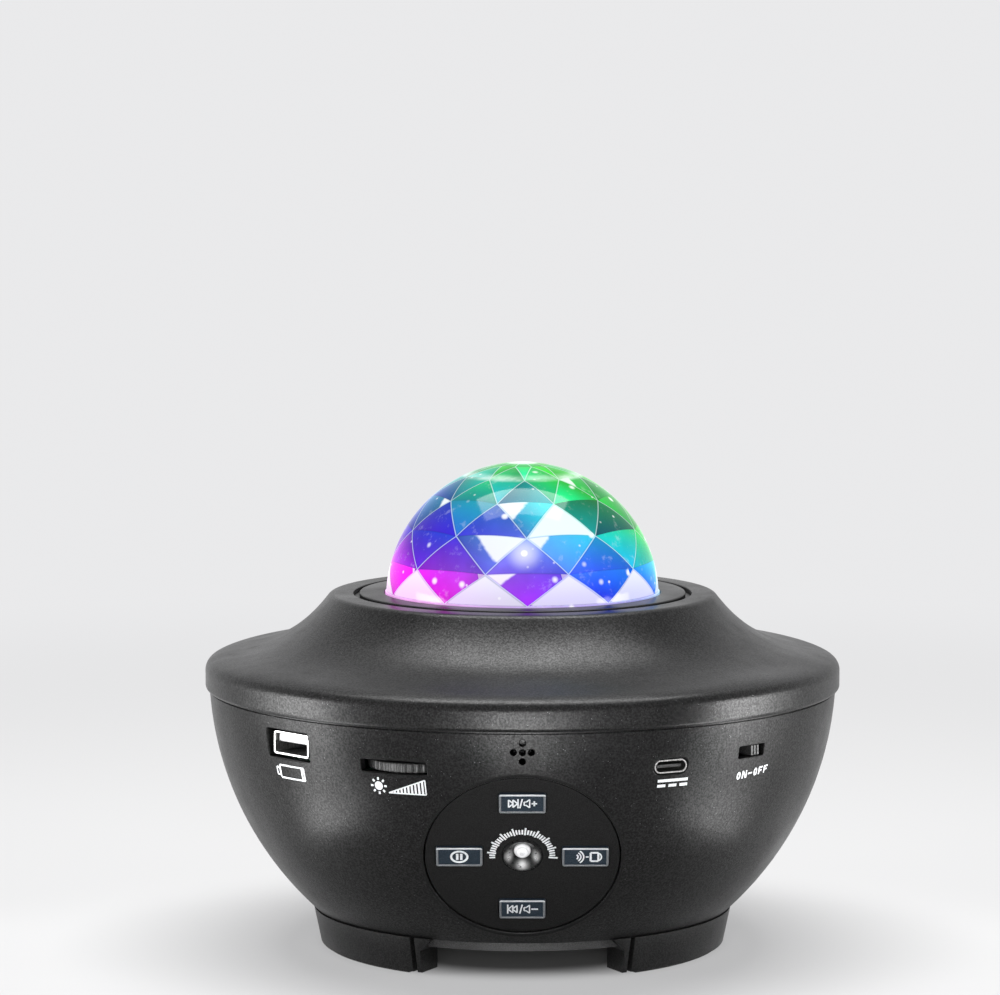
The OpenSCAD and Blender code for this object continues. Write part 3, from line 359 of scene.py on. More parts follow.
def ring(x, y, rx, ry, width, a0=0, a1=360, n=32):
    """An elliptical band, or a part of one."""
    whole = a1 - a0 == 360
    points = []
    for i in range(n if whole else n + 1):
        a = radians(a0 + (a1 - a0) * i / n)
        for s in (width / 2, -width / 2):
            points.append((x + (rx + s) * cos(a), y + (ry + s) * sin(a)))
    size = len(points)
    return points, [tuple(k % size for k in (2 * i, 2 * i + 1, 2 * i + 3, 2 * i + 2)) for i in range(n)]


def spoke(turn, r0, r1, width):
    """A stroke away from the middle, turn in degrees."""
    x, y = cos(radians(turn)), sin(radians(turn))
    return bar(r0 * x, r0 * y, r1 * x, r1 * y, width)


def legend(name, shapes, place, lift=0.04, depth=0.1):
    """A printed mark: flat shapes lifted off the surface that place() describes."""
    bm = bmesh.new()
    for points, faces in shapes:
        verts = [bm.verts.new((x, y, lift)) for x, y in points]
        for f in faces:
            bm.faces.new([verts[i] for i in f])
    bmesh.ops.recalc_face_normals(bm, faces=bm.faces)
    grown = bmesh.ops.extrude_face_region(bm, geom=list(bm.faces))
    for v in (g for g in grown["geom"] if isinstance(g, bmesh.types.BMVert)):
        v.co.z = -depth
    for v in bm.verts:
        v.co = place(*v.co) * MM
    bmesh.ops.recalc_face_normals(bm, faces=bm.faces)
    mesh = bpy.data.meshes.new(name)
    bm.to_mesh(mesh)
    bm.free()
    mesh.materials.append(MATERIAL["ink"])
    return linked(name, mesh)


# ---- materials


class Nodes:
    """Builds the node tree of one material round its Principled shader."""

    def __init__(self, name):
        self.material = having(bpy.data.materials.new(name), use_nodes=True)
        self.tree = self.material.node_tree
        self.shader = self.tree.nodes["Principled BSDF"]
        self.place = self.new("TexCoord", "Object")

    def set(self, node, socket, value):
        """Links or sets one input; a colour gets its alpha."""
        if isinstance(value, bpy.types.NodeSocket):
            self.tree.links.new(value, node.inputs[socket])
            return
        if node.inputs[socket].type == "RGBA" and len(value) == 3:
            value = (*value, 1)
        node.inputs[socket].default_value = value

    def new(self, kind, output, inputs=(), **properties):
        """One output of a new node that has these inputs and properties."""
        node = having(self.tree.nodes.new("ShaderNode" + kind), **properties)
        for socket, value in dict(inputs).items():
            self.set(node, socket, value)
        return node.outputs[output]

    def attribute(self, name, output="Fac"):
        return self.new("Attribute", output, attribute_name=name)

    def parts(self, vector):
        """X, Y and Z of a vector."""
        return self.new("SeparateXYZ", "X", {"Vector": vector}).node.outputs[:]

    def noise(self, size, detail=3, rough=0.55, place=None):
        """Noise whose features are about size millimetres."""
        inputs = {"Vector": place or self.place, "Scale": 1 / (size * MM), "Detail": detail, "Roughness": rough}
        return self.new("TexNoise", "Fac", inputs)

    def cells(self, size):
        """Distance to the nearest of scattered points about size millimetres apart."""
        return self.new("TexVoronoi", "Distance", {"Vector": self.place, "Scale": 1 / (size * MM)})

    def distance(self, point):
        """Distance in metres to a point given in millimetres."""
        return self.new("VectorMath", "Value", {0: self.place, 1: point * MM}, operation="DISTANCE")

    def span(self, value, low, high, to_low=0.0, to_high=1.0, way="SMOOTHSTEP"):
        """The value, brought from low..high to to_low..to_high and held there."""
        inputs = {"Value": value, "From Min": low, "From Max": high, "To Min": to_low, "To Max": to_high}
        return self.new("MapRange", "Result", inputs, interpolation_type=way, clamp=True)

    def math(self, operation, a, b=0.0):
        return self.new("Math", "Value", {0: a, 1: b}, operation=operation)

    def eased(self, value, to_low, to_high):
        """Noise brought to a range, with its rare ends held."""
        return self.span(value, 0.3, 0.7, to_low, to_high)

    def times(self, a, b):
        return self.math("MULTIPLY", a, b)

    def mix(self, factor, a, b, blend="MIX"):
        return self.new("Mix", 2, {0: factor, 6: a, 7: b}, data_type="RGBA", blend_type=blend)

    def bump(self, height, depth, strength):
        """Bump whose full height is depth millimetres."""
        return self.new("Bump", "Normal", {"Height": height, "Distance": depth * MM, "Strength": strength})

    def put(self, **values):
        """Sets the Principled shader's inputs, and gives the finished material."""
        for key, value in values.items():
            self.set(self.shader, key.replace("_", " ").title().replace("Ior", "IOR"), value)
        return self.material


WHITE, BLACK = (1, 1, 1), (0, 0, 0)


def grey(level, tint=WHITE):
    return tuple(level * t for t in tint)


def toned(colour, gain, lift=0.0):
    return tuple(min(1, c * gain + lift) for c in colour)


def grained_plastic(name, colour, rough, grain, depth, painted_glint_share, specular):
    """Moulded plastic: a spark-eroded grain that shines unevenly, faint painted glints, and slight rubbing."""
    n = Nodes(name)
    fine = n.noise(grain, 4, 0.6)
    # Painted glints: pale specks mixed into the colour, standing in for light caught by the grain.
    painted_glint = n.span(n.cells(grain * 1.1), 0.16, 0.04)
    painted_glint = n.times(painted_glint, n.span(n.noise(grain * 2.3, 1), 0.52, 0.72))
    rubbed = n.span(n.noise(5.5, 4, 0.62), 0.58, 0.8, 0, 0.25)
    base = n.mix(n.span(fine, 0.35, 0.7), colour, toned(colour, 1.5, 0.0015))
    base = n.mix(rubbed, base, toned(colour, 1.6, 0.004))
    base = n.mix(n.times(painted_glint, painted_glint_share), base, (0.8, 0.8, 0.82))
    roughness = n.eased(n.noise(22, 3), rough - 0.05, rough + 0.06)
    roughness = n.math("ADD", roughness, n.times(rubbed, 0.25))
    return n.put(
        base_color=base,
        roughness=roughness,
        specular_ior_level=n.span(fine, 0.38, 0.64, specular * 0.66, specular * 1.34),
        normal=n.bump(fine, depth, 0.9),
    )


def print_ink(name, colour):
    n = Nodes(name)
    worn = n.span(n.noise(0.5, 4, 0.7), 0.3, 0.6)
    return n.put(
        base_color=n.mix(worn, toned(colour, 0.7), colour),
        roughness=n.eased(n.noise(0.25, 2), 0.4, 0.6),
        normal=n.bump(n.noise(0.12, 3), 0.008, 0.5),
    )


def brushed_metal(name, colour, rough, grain=0.18):
    n = Nodes(name)
    stretched = n.new("Mapping", "Vector", {"Vector": n.place, "Scale": (1.0, 1.0, 0.06)})
    lines = n.noise(grain, 5, 0.7, stretched)
    stain = n.span(n.noise(2.5, 4, 0.6), 0.45, 0.75)
    sheen = n.eased(lines, rough - 0.06, rough + 0.08)
    return n.put(
        base_color=n.mix(stain, colour, toned(colour, 0.72)),
        metallic=1.0,
        roughness=n.math("ADD", sheen, n.times(stain, 0.12)),
        normal=n.bump(lines, 0.003, 0.5),
    )


def cup_painted_highlights(name):
    """Dark plating with three painted highlights: spots where the colour is paler and partly metallic."""
    n = Nodes(name)
    painted_spots = n.attribute("painted_highlight")
    smear = n.noise(0.8, 4, 0.6)
    base = n.mix(n.span(smear, 0.3, 0.7), grey(0.004), grey(0.008))
    return n.put(
        base_color=n.mix(painted_spots, base, grey(0.5)),
        metallic=n.span(painted_spots, 0.1, 0.6, 0, 0.7),
        roughness=n.eased(smear, 0.24, 0.36),
        specular_ior_level=0.14,
        normal=n.bump(smear, 0.01, 0.4),
    )


def ball_finish(name):
    """Milky window: white with faint grey rings round its middle."""
    n = Nodes(name)
    pitch = 1.0 * MM
    rings = n.math("SINE", n.times(n.distance(on_panel(0, 0.2, 0.3)), 2 * pi / pitch))
    cloud = n.span(n.noise(0.9, 3), 0.35, 0.65)
    shade = n.times(n.span(rings, 0.1, 0.9), n.span(cloud, 0, 1, 0.3, 1))
    return n.put(
        base_color=n.mix(n.times(shade, 0.6), (0.72, 0.72, 0.73), (0.3, 0.3, 0.31)),
        roughness=n.span(cloud, 0, 1, 0.12, 0.2),
        subsurface_weight=0.3,
        subsurface_radius=(0.8 * MM, 0.8 * MM, 0.8 * MM),
        specular_ior_level=0.5,
    )


def rubber(name, colour, rough=0.75):
    n = Nodes(name)
    fine = n.noise(0.3, 5, 0.65)
    worn = n.span(n.noise(4, 4, 0.65), 0.5, 0.75, 0, 0.5)
    return n.put(
        base_color=n.mix(worn, colour, toned(colour, 2.2, 0.02)),
        roughness=n.eased(fine, rough - 0.08, rough + 0.1),
        specular_ior_level=0.25,
        normal=n.bump(fine, 0.02, 0.6),
    )


def board_laminate(name):
    """Circuit board: solder mask over copper tracks and glass weave."""
    n = Nodes(name)
    tracks = n.new("TexBrick", "Fac", {"Vector": n.place, "Scale": 260.0, "Mortar Size": 0.012})
    weave = n.noise(0.6, 3)
    mask = n.mix(n.span(weave, 0.35, 0.65), (0.004, 0.07, 0.028), (0.006, 0.1, 0.04))
    return n.put(
        base_color=n.mix(n.span(tracks, 0.2, 0.8, 0, 0.6), mask, (0.02, 0.2, 0.08)),
        roughness=n.eased(weave, 0.3, 0.42),
        normal=n.bump(tracks, 0.03, 0.4),
    )


def clear_moulding(name, tint, rough=0.08):
    n = Nodes(name)
    flow = n.noise(3.5, 3)
    return n.put(
        base_color=n.mix(n.span(flow, 0.3, 0.7), tint, toned(tint, 0.94)),
        roughness=n.span(n.noise(0.8, 4), 0.35, 0.7, rough * 0.6, rough * 1.6),
        transmission_weight=0.9,
        ior=1.49,
        normal=n.bump(flow, 0.02, 0.3),
    )


# Grained plastics: name, colour, roughness, grain in mm, its depth in mm, share of painted glints and specular level
PLASTICS = {
    "shell": ("shell_satin_black", grey(0.003), 0.33, 0.5, 0.05, 0.35, 0.14),
    "cover": ("cover_satin_black", grey(0.003), 0.32, 0.5, 0.05, 0.35, 0.2),
    "ring": ("ring_satin_black", grey(0.006), 0.34, 0.25, 0.02, 0.05, 0.2),
    "foot": ("foot_satin_black", grey(0.005), 0.36, 0.4, 0.02, 0.1, 0.2),
    "panel": ("panel_matte_black", grey(0.004), 0.62, 0.22, 0.006, 0.03, 0.1),
    "button": ("button_slate", (0.009, 0.014, 0.02), 0.42, 0.2, 0.005, 0.02, 0.14),
    # The two rim entries paint highlights on the buttons' raised rims: the whole rim lighter, its upper side lighter
    # still.
    "rim_painted_highlight": ("button_rim_painted_highlight", (0.08, 0.085, 0.09), 0.36, 0.2, 0.004, 0.02, 0.35),
    "rim_top_painted_highlight": ("button_rim_top_painted_highlight", (0.3, 0.31, 0.32), 0.34, 0.2, 0.004, 0.02, 0.5),
    "plastic_black": ("moulded_black", grey(0.012), 0.5, 0.3, 0.02, 0.03, 0.35),
    "wheel": ("wheel_black", grey(0.014), 0.45, 0.25, 0.02, 0.05, 0.35),
    "plastic_white": ("moulded_white", grey(0.72, (1, 0.99, 0.95)), 0.4, 0.3, 0.02, 0.0, 0.35),
    "tongue": ("socket_tongue", grey(0.24), 0.45, 0.3, 0.02, 0.0, 0.35),
}
MATERIAL = {key: grained_plastic(*values) for key, values in PLASTICS.items()} | {
    "ink": print_ink("legend_ink", (0.55, 0.565, 0.58)),
    "steel": brushed_metal("sheet_steel", (0.38, 0.376, 0.368), 0.28),
    "screw": brushed_metal("screw_steel", (0.6, 0.59, 0.57), 0.3, 0.3),
    "cup": cup_painted_highlights("cup_dark_painted_highlights"),
    "ball": ball_finish("window_milky"),
    "aluminium": brushed_metal("bare_aluminium", (0.74, 0.75, 0.77), 0.38, 0.35),
    "brass": brushed_metal("turned_brass", (0.72, 0.5, 0.22), 0.28),
    "magnet": brushed_metal("magnet_plating", (0.42, 0.43, 0.45), 0.42, 0.6),
    "rubber": rubber("pad_rubber", grey(0.012)),
    "felt": rubber("microphone_felt", grey(0.004), 0.95),
    "surround": rubber("surround_rubber", grey(0.02)),
    "paper": rubber("cone_paper", grey(0.05, (1, 0.95, 0.88)), 0.85),
    "board": board_laminate("board_laminate"),
    "window": clear_moulding("window_clear", (0.93, 0.94, 0.96)),
    "disc": clear_moulding("disc_clear", (0.9, 0.95, 0.97), 0.15),
    "grating": clear_moulding("grating_green", (0.35, 0.9, 0.45), 0.1),
}

# ---- dome

# Elevations of the rows of facet corners
DOME_ROWS = [degrees(asin((BAND_TOP - DOME_C) / DOME_R)), 16.2, 32, 49, 64.7, 79, 90]
# Degrees on the colour wheel: the light's ends and its front, and the furthest that one facet may go
GREEN_HUE, FRONT_HUE, MAGENTA_HUE, LAST_HUE = 130, 262, 300, 302


def clamp(value):
    return min(1, max(0, value))


def glow(az, el):
    """Colour of the light in the dome: magenta low on the left, over violet, blue and teal, to green at the top.

    Gives the hue, the saturation and the nearness to the front's pale middle.
    """
    az = az if abs(az) <= 90 else copysign(180, az) - az
    swing = 0.85 * (1 - el / 72) if az < 0 else 0.5 + 0.012 * (el - 8) + 0.3 * max(0, (az - 50) / 40)
    hue = min(MAGENTA_HUE, max(GREEN_HUE, FRONT_HUE - swing * az - 1.8 * (el - 8))) / 360
    middle = exp(-(((az + 4) / 34) ** 2) - ((el - 24) / 17) ** 2)
    return hue, 0.95 - 0.45 * middle - 0.04 * clamp((el - 30) / 40), middle


def painted(hue, saturation, value):
    """Linear colour of a hue, as it shows on a screen."""
    shown = colorsys.hsv_to_rgb(hue % 1, clamp(saturation), clamp(value))
    return tuple(c / 12.92 if c <= 0.04045 else ((c + 0.055) / 1.055) ** 2.4 for c in shown)


def dome_corner(row, k):
    """Azimuth and elevation of a facet corner; the last row is the pole."""
    return DOME_TURN + (k + (row % 2) / 2) * 360 / DOME_SIDES, DOME_ROWS[row]


def dome_point(az, el):
    e = radians(el)
    return polar(radians(az), DOME_R * cos(e), DOME_C + DOME_R * sin(e))


def on_ball(p, on_rim):
    """The point pushed out onto the ball; the lowest edges stay on the rim's circle."""
    if on_rim:
        return dome_point(degrees(atan2(p.x, -p.y)), DOME_ROWS[0])
    middle = Vector((0, 0, DOME_C))
    return middle + (p - middle).normalized() * DOME_R


# Facets with a pale wedge: the corner it grows from, and how far from the opposite edge it starts
WEDGE = {
    ("up", 0): (1, -1.0), ("down", 2, 0): (1, 0.45), ("down", 1, 9): (2, 0.28), ("up", 2, 0): (1, -1.0),
    ("down", 1, 0): (1, 0.66), ("down", 0, 0): (1, 0.62), ("down", 2, 8): (2, 0.7), ("up", 3, 2): (0, 0.5),
    ("down", 3, 1): (1, 0.55), ("up", 1, 4): (1, 0.3), ("down", 2, 5): (2, 0.3), ("up", 2, 6): (0, -1.0),
    ("down", 1, 3): (2, 0.5),
}
# Range of the facets' brightness, most that their hue shifts in degrees, and the extra of one corner
SHADES, SHIFT, SPARK = (0.72, 1.0), 14, 0.22
# Values of the mesh's attributes where there is no edge nearby and no wedge
NO_EDGE, NO_WEDGE = (9.0, 9.0, 9.0), -1.0
# Azimuth and elevation at which the lamp inside shows
LAMP_SPOT = (0.8, 25.5)


def dome_material(name):
    """Smooth dome with lit facets drawn on it: facet colours, pale wedges, bright edges painted as highlights, star
    points, a pale line round the top row and a painted highlight at its very top.
    """
    n = Nodes(name)
    tint = n.attribute("glow", "Color")
    left, right, level = n.parts(n.attribute("edges", "Vector"))
    slanted = n.math("MINIMUM", left, right)
    up = n.parts(n.place)[2]

    def height(low, high, to_low=0.0, to_high=1.0):
        """Eased between two heights over the dome's middle."""
        return n.span(up, (DOME_C + low) * MM, (DOME_C + high) * MM, to_low, to_high)

    lit = n.mix(1.0, tint, n.eased(n.noise(9, 3, 0.5), 0.86, 1.08), "MULTIPLY")
    ragged = n.math("ADD", n.attribute("wedge"), n.eased(n.noise(3.0, 2, 0.5), -0.02, 0.02))
    top_row = DOME_R * sin(radians(DOME_ROWS[4]))
    band = n.times(height(top_row - 0.5, top_row + 0.2), height(top_row + 1.5, top_row + 0.3))
    band = n.times(band, n.span(n.noise(5, 3, 0.6), 0.35, 0.65, 0.25, 0.75))
    away = n.distance(dome_point(*LAMP_SPOT))
    # Laid over the tint: how much of it shows, how far its colour is from the tint, and towards what
    for share, leave, colour in (
        (n.span(n.noise(3.2, 5, 0.7), 0.56, 0.7, 0, 0.3), 0.5, WHITE),
        (n.span(ragged, -0.02, 0.05), height(BAND_TOP - 0.5 - DOME_C, DOME_R * 0.3, 0.66, 0.88), WHITE),
        (n.span(slanted, 0.55, 0.16, 0, 0.4), 0.6, BLACK),
        (n.span(level, 0.3, 0.08, 0, 0.4), 0.5, BLACK),
        # Painted highlights along the slanted edges.
        (n.span(slanted, 0.2, 0.08, 0, 0.75), 0.7, (0.8, 0.97, 1)),
        # A pale line round the top row, and a painted highlight at the very top.
        (n.math("MAXIMUM", band, height(DOME_R - 0.3, DOME_R - 0.04)), 0.85, (0.9, 1, 0.95)),
        (n.math("MAXIMUM", n.span(away, 1.5 * MM, 0.6 * MM), n.span(away, 5.5 * MM, 0.5 * MM, 0, 0.6)), 1.0, WHITE),
        (n.math("MAXIMUM", n.span(n.cells(8.0), 0.15, 0.05), n.span(n.cells(5.5), 0.1, 0.03, 0, 0.8)), 0.9, WHITE),
    ):
        lit = n.mix(share, lit, n.mix(leave, tint, colour))
    return n.put(
        base_color=n.mix(0.85, tint, BLACK),
        roughness=n.eased(n.noise(4, 3), 0.05, 0.12),
        specular_ior_level=0.12,
        emission_color=lit,
        emission_strength=1.0,
        normal=n.bump(n.noise(6, 2), 0.03, 0.15),
    )


def make_dome():
    """The dome: a smooth ball in rows of triangles, each with its own run of colour, and its rim."""
    chance = random.Random(11)
    points, faces, colours, spans, wedges = lists = [], [], [], [], []
    last = len(DOME_ROWS) - 2
    for row in range(last + 1):
        for k in range(DOME_SIDES):
            above = k + row % 2
            kinds = [("up", (row, k), (row + 1, above), (row, k + 1))]
            if row < last:
                kinds.append(("down", (row, k), (row + 1, above - 1), (row + 1, above)))
            for kind, *corners in kinds:
                corners = [dome_corner(*c) for c in corners]
                if row == last:
                    corners[1] = ((corners[0][0] + corners[2][0]) / 2, 90)
                add_facet(kind, row, k, corners, chance, lists)
    start = len(points)
    band = ((DOME_R * cos(radians(DOME_ROWS[0])), BAND_TOP), (BAND_R, BAND_TOP - 0.15), (BAND_R, DOME_C))
    steps, n = 120, len(band)
    for i in range(steps):
        turn = 360 * i / steps
        hue, saturation, _ = glow((turn + 180) % 360 - 180, 6)
        points += [polar(radians(turn), r, z) for r, z in band]
        colours += [painted(hue, saturation * 0.3, 0.9)] * n
        spans += [NO_EDGE] * n
        wedges += [NO_WEDGE] * n
        for j in range(n - 1):
            a, b = start + n * i + j, start + n * ((i + 1) % steps) + j
            faces.append((a, a + 1, b + 1, b))
    faces.append(tuple(start + n * i + n - 1 for i in range(steps)))

    mesh = bpy.data.meshes.new("dome_facets")
    mesh.from_pydata([p * MM for p in points], [], faces)
    order = [loop.vertex_index for loop in mesh.loops]
    for name, kind, field, values in (
        ("glow", "FLOAT_COLOR", "color", [x for v in order for x in (*colours[v], 1)]),
        ("edges", "FLOAT_VECTOR", "vector", [x for v in order for x in spans[v]]),
        ("wedge", "FLOAT", "value", [wedges[v] for v in order]),
    ):
        mesh.attributes.new(name, kind, "CORNER").data.foreach_set(field, values)
    piece = linked("dome_facets", mesh)
    mesh.materials.append(dome_material("dome_lens_lit"))
    mesh.materials.append(MATERIAL["plastic_black"])
    mesh.polygons[-1].material_index = 1
    tidy_mesh(piece, 30)
    finish_piece(piece, ["dome_lens"])


def add_facet(kind, row, k, corners, chance, lists):
    """One facet, in small triangles that follow the ball."""
    points, faces, colours, spans, wedges = lists
    fine = 10
    a, b, c = (dome_point(*corner) for corner in corners)
    area = (b - a).cross(c - a).length
    heights = (area / (c - b).length, area / (c - a).length, area / (b - a).length)
    middle = [sum(v[i] for v in corners) / 3 for i in (0, 1)]
    shade = chance.uniform(*SHADES) * (1 - 0.12 * clamp((middle[1] - 28) / 22))
    shift = chance.uniform(-SHIFT, SHIFT) / 360
    bright = chance.randrange(3)
    grow, begin = WEDGE.get((kind, row), WEDGE.get((kind, row, k), (0, 2.0)))
    dim = 0.65 if row == 2 and k == 1 else 1
    tones = []
    for i, corner in enumerate(corners):
        az, el = lerp(middle, corner, 0.75)
        hue, saturation, glowing = glow((az + 180) % 360 - 180, el)
        value = shade if i != bright else min(1, shade + SPARK)
        value *= 1 - 0.22 * clamp((az - 25) / 20) * clamp((el - 14) / 10)
        value = max(value, 0.95 * glowing + 0.12) * dim
        tones.append(painted(min(hue + shift, LAST_HUE / 360), saturation, value))
    start = len(points)
    index = {}
    for i in range(fine + 1):
        for j in range(fine + 1 - i):
            w = (1 - (i + j) / fine, i / fine, j / fine)
            index[i, j] = start + len(index)
            points.append(on_ball(a * w[0] + b * w[1] + c * w[2], w[1] == 0 and row == 0))
            colours.append(tuple(sum(s * t[n] for s, t in zip(w, tones)) for n in range(3)))
            opposite = [s * h for s, h in zip(w, heights)]
            slanted = (opposite[0], opposite[2]) if kind == "up" else (opposite[1], opposite[2])
            spans.append((*slanted, opposite[1] if kind == "up" else opposite[0]))
            wedges.append(w[grow] - begin)
    for i in range(fine):
        for j in range(fine - i):
            faces.append((index[i, j], index[i + 1, j], index[i, j + 1]))
            if j < fine - i - 1:
                faces.append((index[i + 1, j], index[i + 1, j + 1], index[i, j + 1]))


# ---- pieces


def finish_piece(piece, replaces=(), body="housing"):
    """Puts a piece on its body, in place of its CAD nodes."""
    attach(piece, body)
    if replaces:
        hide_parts(*replaces)


def panel_circle(r, h):
    """A circle round the panel's middle."""
    return [on_panel(*p, h) for p in circle(r, 144)]


def make_bowl():
    """The bowl's wall with its windows, the seat for the panel and the microphone holes."""
    lip = 0.3
    inner_r = BOWL_ARC_R - WALL
    top, low = bowl_angle(SEAM_Z - lip), bowl_angle(FOOT_H)
    outer = arc(BOWL_C, BOWL_ARC_R, low, top, 64)
    edge = arc((outer[-1][0] - lip, SEAM_Z - lip), lip, 15, 90, 4)
    inner = arc(BOWL_C, inner_r, bowl_angle(SEAM_Z, inner_r), bowl_angle(FOOT_H + WALL, inner_r), 24)
    floor = [(FLOOR_OPEN_R, FOOT_H + WALL), (FLOOR_OPEN_R, FOOT_H)]
    piece = revolve("bowl_shell", outer + edge + inner + floor, "shell")

    gap, edge_r = 0.3, 0.25  # round the panel
    layers = [(0, -WINDOW_DEPTH), (0, -edge_r)] + rounded(edge_r, 0) + [(3.5, 0.0), (3.5, 9.0)]
    flat = loft("flat_cutter", [panel_circle(PANEL_R + gap + grow, up) for grow, up in layers])
    plus, hole = ((0, -1), (0, 1), (-1, 0), (0, 0), (1, 0)), (MIC_HOLE_D, MIC_HOLE_D, MIC_HOLE_D / 2, MIC_EDGE)
    openings = [*WINDOWS.values()] + [(i * MIC_STEP_AZ, MIC_Z + j * MIC_STEP_Z, *hole) for i, j in plus]
    windows = [mouth(on_bowl(az, z), *shape, WINDOW_DEPTH) for az, z, *shape in openings]
    cut(piece, [flat, joined(windows)])
    paint_faces(piece, "panel", lambda c: abs((c - on_panel(0, 0, 0)).dot(PANEL_OUT)) < 0.01)

    def normal_at(p):
        r = hypot(p.x, p.y)
        if not FOOT_H - 0.1 < p.z < SEAM_Z - lip / 2 or abs(r - bowl_r(p.z)) > 0.03:
            return None
        out, up = (r - BOWL_C[0]) / BOWL_ARC_R, (p.z - BOWL_C[1]) / BOWL_ARC_R
        return Vector((p.x / r * out, p.y / r * out, up)).normalized()

    surface_normals(piece, normal_at)
    finish_piece(piece, ["bowl_housing"])


def make_cover():
    """The flared cover from the seam to the deck, with the skirt that plugs into the bowl."""
    brim_z = SEAM_Z + BRIM_BAND
    brim = arc((BRIM_R - BRIM_FILLET, brim_z), BRIM_FILLET, 0, BRIM_TURN, 10)
    deck = arc((DECK_R, DECK_Z - DECK_FILLET), DECK_FILLET, 90 - FLARE_SLOPE, 90, 8)
    turn, slope = radians(BRIM_TURN), radians(FLARE_SLOPE)
    (r0, z0), (r1, z1) = brim[-1], deck[0]
    flare = (
        (r0, z0),
        (r0 - FLARE_OUT * sin(turn), z0 + FLARE_OUT * cos(turn)),
        (r1 + FLARE_IN * cos(slope), z1 - FLARE_IN * sin(slope)),
        (r1, z1),
    )
    steps, inner_steps = 48, 12
    well_edge = 0.3
    step_r = BOWL_RIM_R - 0.4
    skirt_r = bowl_r(SEAM_Z, BOWL_ARC_R - WALL) - 0.3
    brim_low, skirt_low = SEAM_Z + SEAM_GAP, SEAM_Z - 3
    ledge_z, ledge_low, well_out = DECK_Z - LEDGE_DROP, DECK_Z - LEDGE_DROP - 2, WELL_R + 2.2
    profile = [
        (step_r, SEAM_Z), (step_r, brim_low), (BRIM_R - 0.7, brim_low),
        *arc((BRIM_R - 1, brim_low + 1), 1, -60, 0, 6),
        *brim,
        *(bezier(flare, i / steps) for i in range(1, steps)),
        *deck,
        *arc((WELL_R + well_edge, DECK_Z - well_edge), well_edge, 90, 180, 4),
        (WELL_R, ledge_z), (LEDGE_R, ledge_z), (LEDGE_R, ledge_low), (well_out, ledge_low), (well_out, DECK_Z - WALL),
        *(bezier_inset(flare, i / inner_steps, WALL) for i in range(inner_steps, -1, -1)),
        (BRIM_R - WALL, brim_z), (BRIM_R - WALL, SEAM_Z + WALL), (skirt_r - 2, SEAM_Z + WALL),
        (skirt_r - 2, skirt_low), (skirt_r, skirt_low), (skirt_r, SEAM_Z),
    ]
    piece = revolve("cover_shell", profile, "cover")
    finish_piece(piece, ["top_cover"])


def make_ring():
    """The ring that clamps the dome, with soft edges and a step inside."""
    edge, thick, out_r, step_r, ledge_z = 0.35, 1.4, WELL_R - 0.2, 40.8, DECK_Z - LEDGE_DROP
    profile = [(RING_IN_R, DECK_Z - thick)]
    profile += arc((RING_IN_R + edge, RING_TOP - edge), edge, 180, 90, 4)
    profile += arc((RING_R - edge, RING_TOP - edge), edge, 90, 0, 4)
    profile += [(RING_R, RING_TOP - thick), (out_r, RING_TOP - thick), (out_r, ledge_z)]
    profile += [(step_r, ledge_z), (step_r, DECK_Z - thick)]
    piece = revolve("deck_ring", profile, "ring")
    finish_piece(piece, ["lens_ring"])


def make_foot(name, side):
    """One arc foot: bevelled ends that reach further at the top, and an upright groove near each end."""
    to_deg = 180 / pi / FOOT_HIGH_R

    def section(az, low, inset=0.0):
        gap = 0.2
        in_r = FOOT_IN_R if low < PLATE_LOW else PLATE_R + gap

        def out_r(z):
            return FOOT_LOW_R + (FOOT_HIGH_R - FOOT_LOW_R) * (z - PAD_PROUD) / (FOOT_H - PAD_PROUD) - inset

        seat = max(low, PLATE_LOW)
        rim = min(PLATE_R + gap, out_r(FOOT_H) - gap)
        profile = [(in_r, low), (out_r(low), low), (out_r(FOOT_H), FOOT_H), (rim, FOOT_H), (rim, seat), (in_r, seat)]
        return [polar(side * radians(az), r, z) for r, z in profile]

    start = FOOT_GAP_HALF
    groove = start + FOOT_GROOVE_END * to_deg
    groove_end, step = groove + FOOT_GROOVE_W * to_deg, 0.02
    # Azimuth, lowest height and inset of the sections from the end to behind the groove
    half = [
        (start - GUSSET * to_deg, FOOT_H - 0.05), (start - (GUSSET - 1) * to_deg, FOOT_H - 1),
        (start - to_deg, PLATE_LOW), (start, FOOT_H - GUSSET), (start, PAD_PROUD), (groove, PAD_PROUD),
        (groove + step, PAD_PROUD, FOOT_GROOVE_D), (groove_end, PAD_PROUD, FOOT_GROOVE_D),
        (groove_end + step, PAD_PROUD),
    ]
    half = [section(*values) for values in half]
    steps, length = 60, 180 - 2 * groove_end - 2 * step
    middle = [section(groove_end + step + length * i / steps, PAD_PROUD) for i in range(1, steps)]
    mirrored = [[(x, -y, z) for x, y, z in ring_] for ring_ in reversed(half)]
    piece = loft(name, half + middle + mirrored, "foot")
    bevel = piece.modifiers.new("edge", "BEVEL")
    having(bevel, width=0.25 * MM, segments=3, limit_method="ANGLE", angle_limit=radians(25))
    apply_modifiers(piece)
    smooth(piece.data, 40)
    finish_piece(piece, ["foot_right" if side > 0 else "foot_left"])


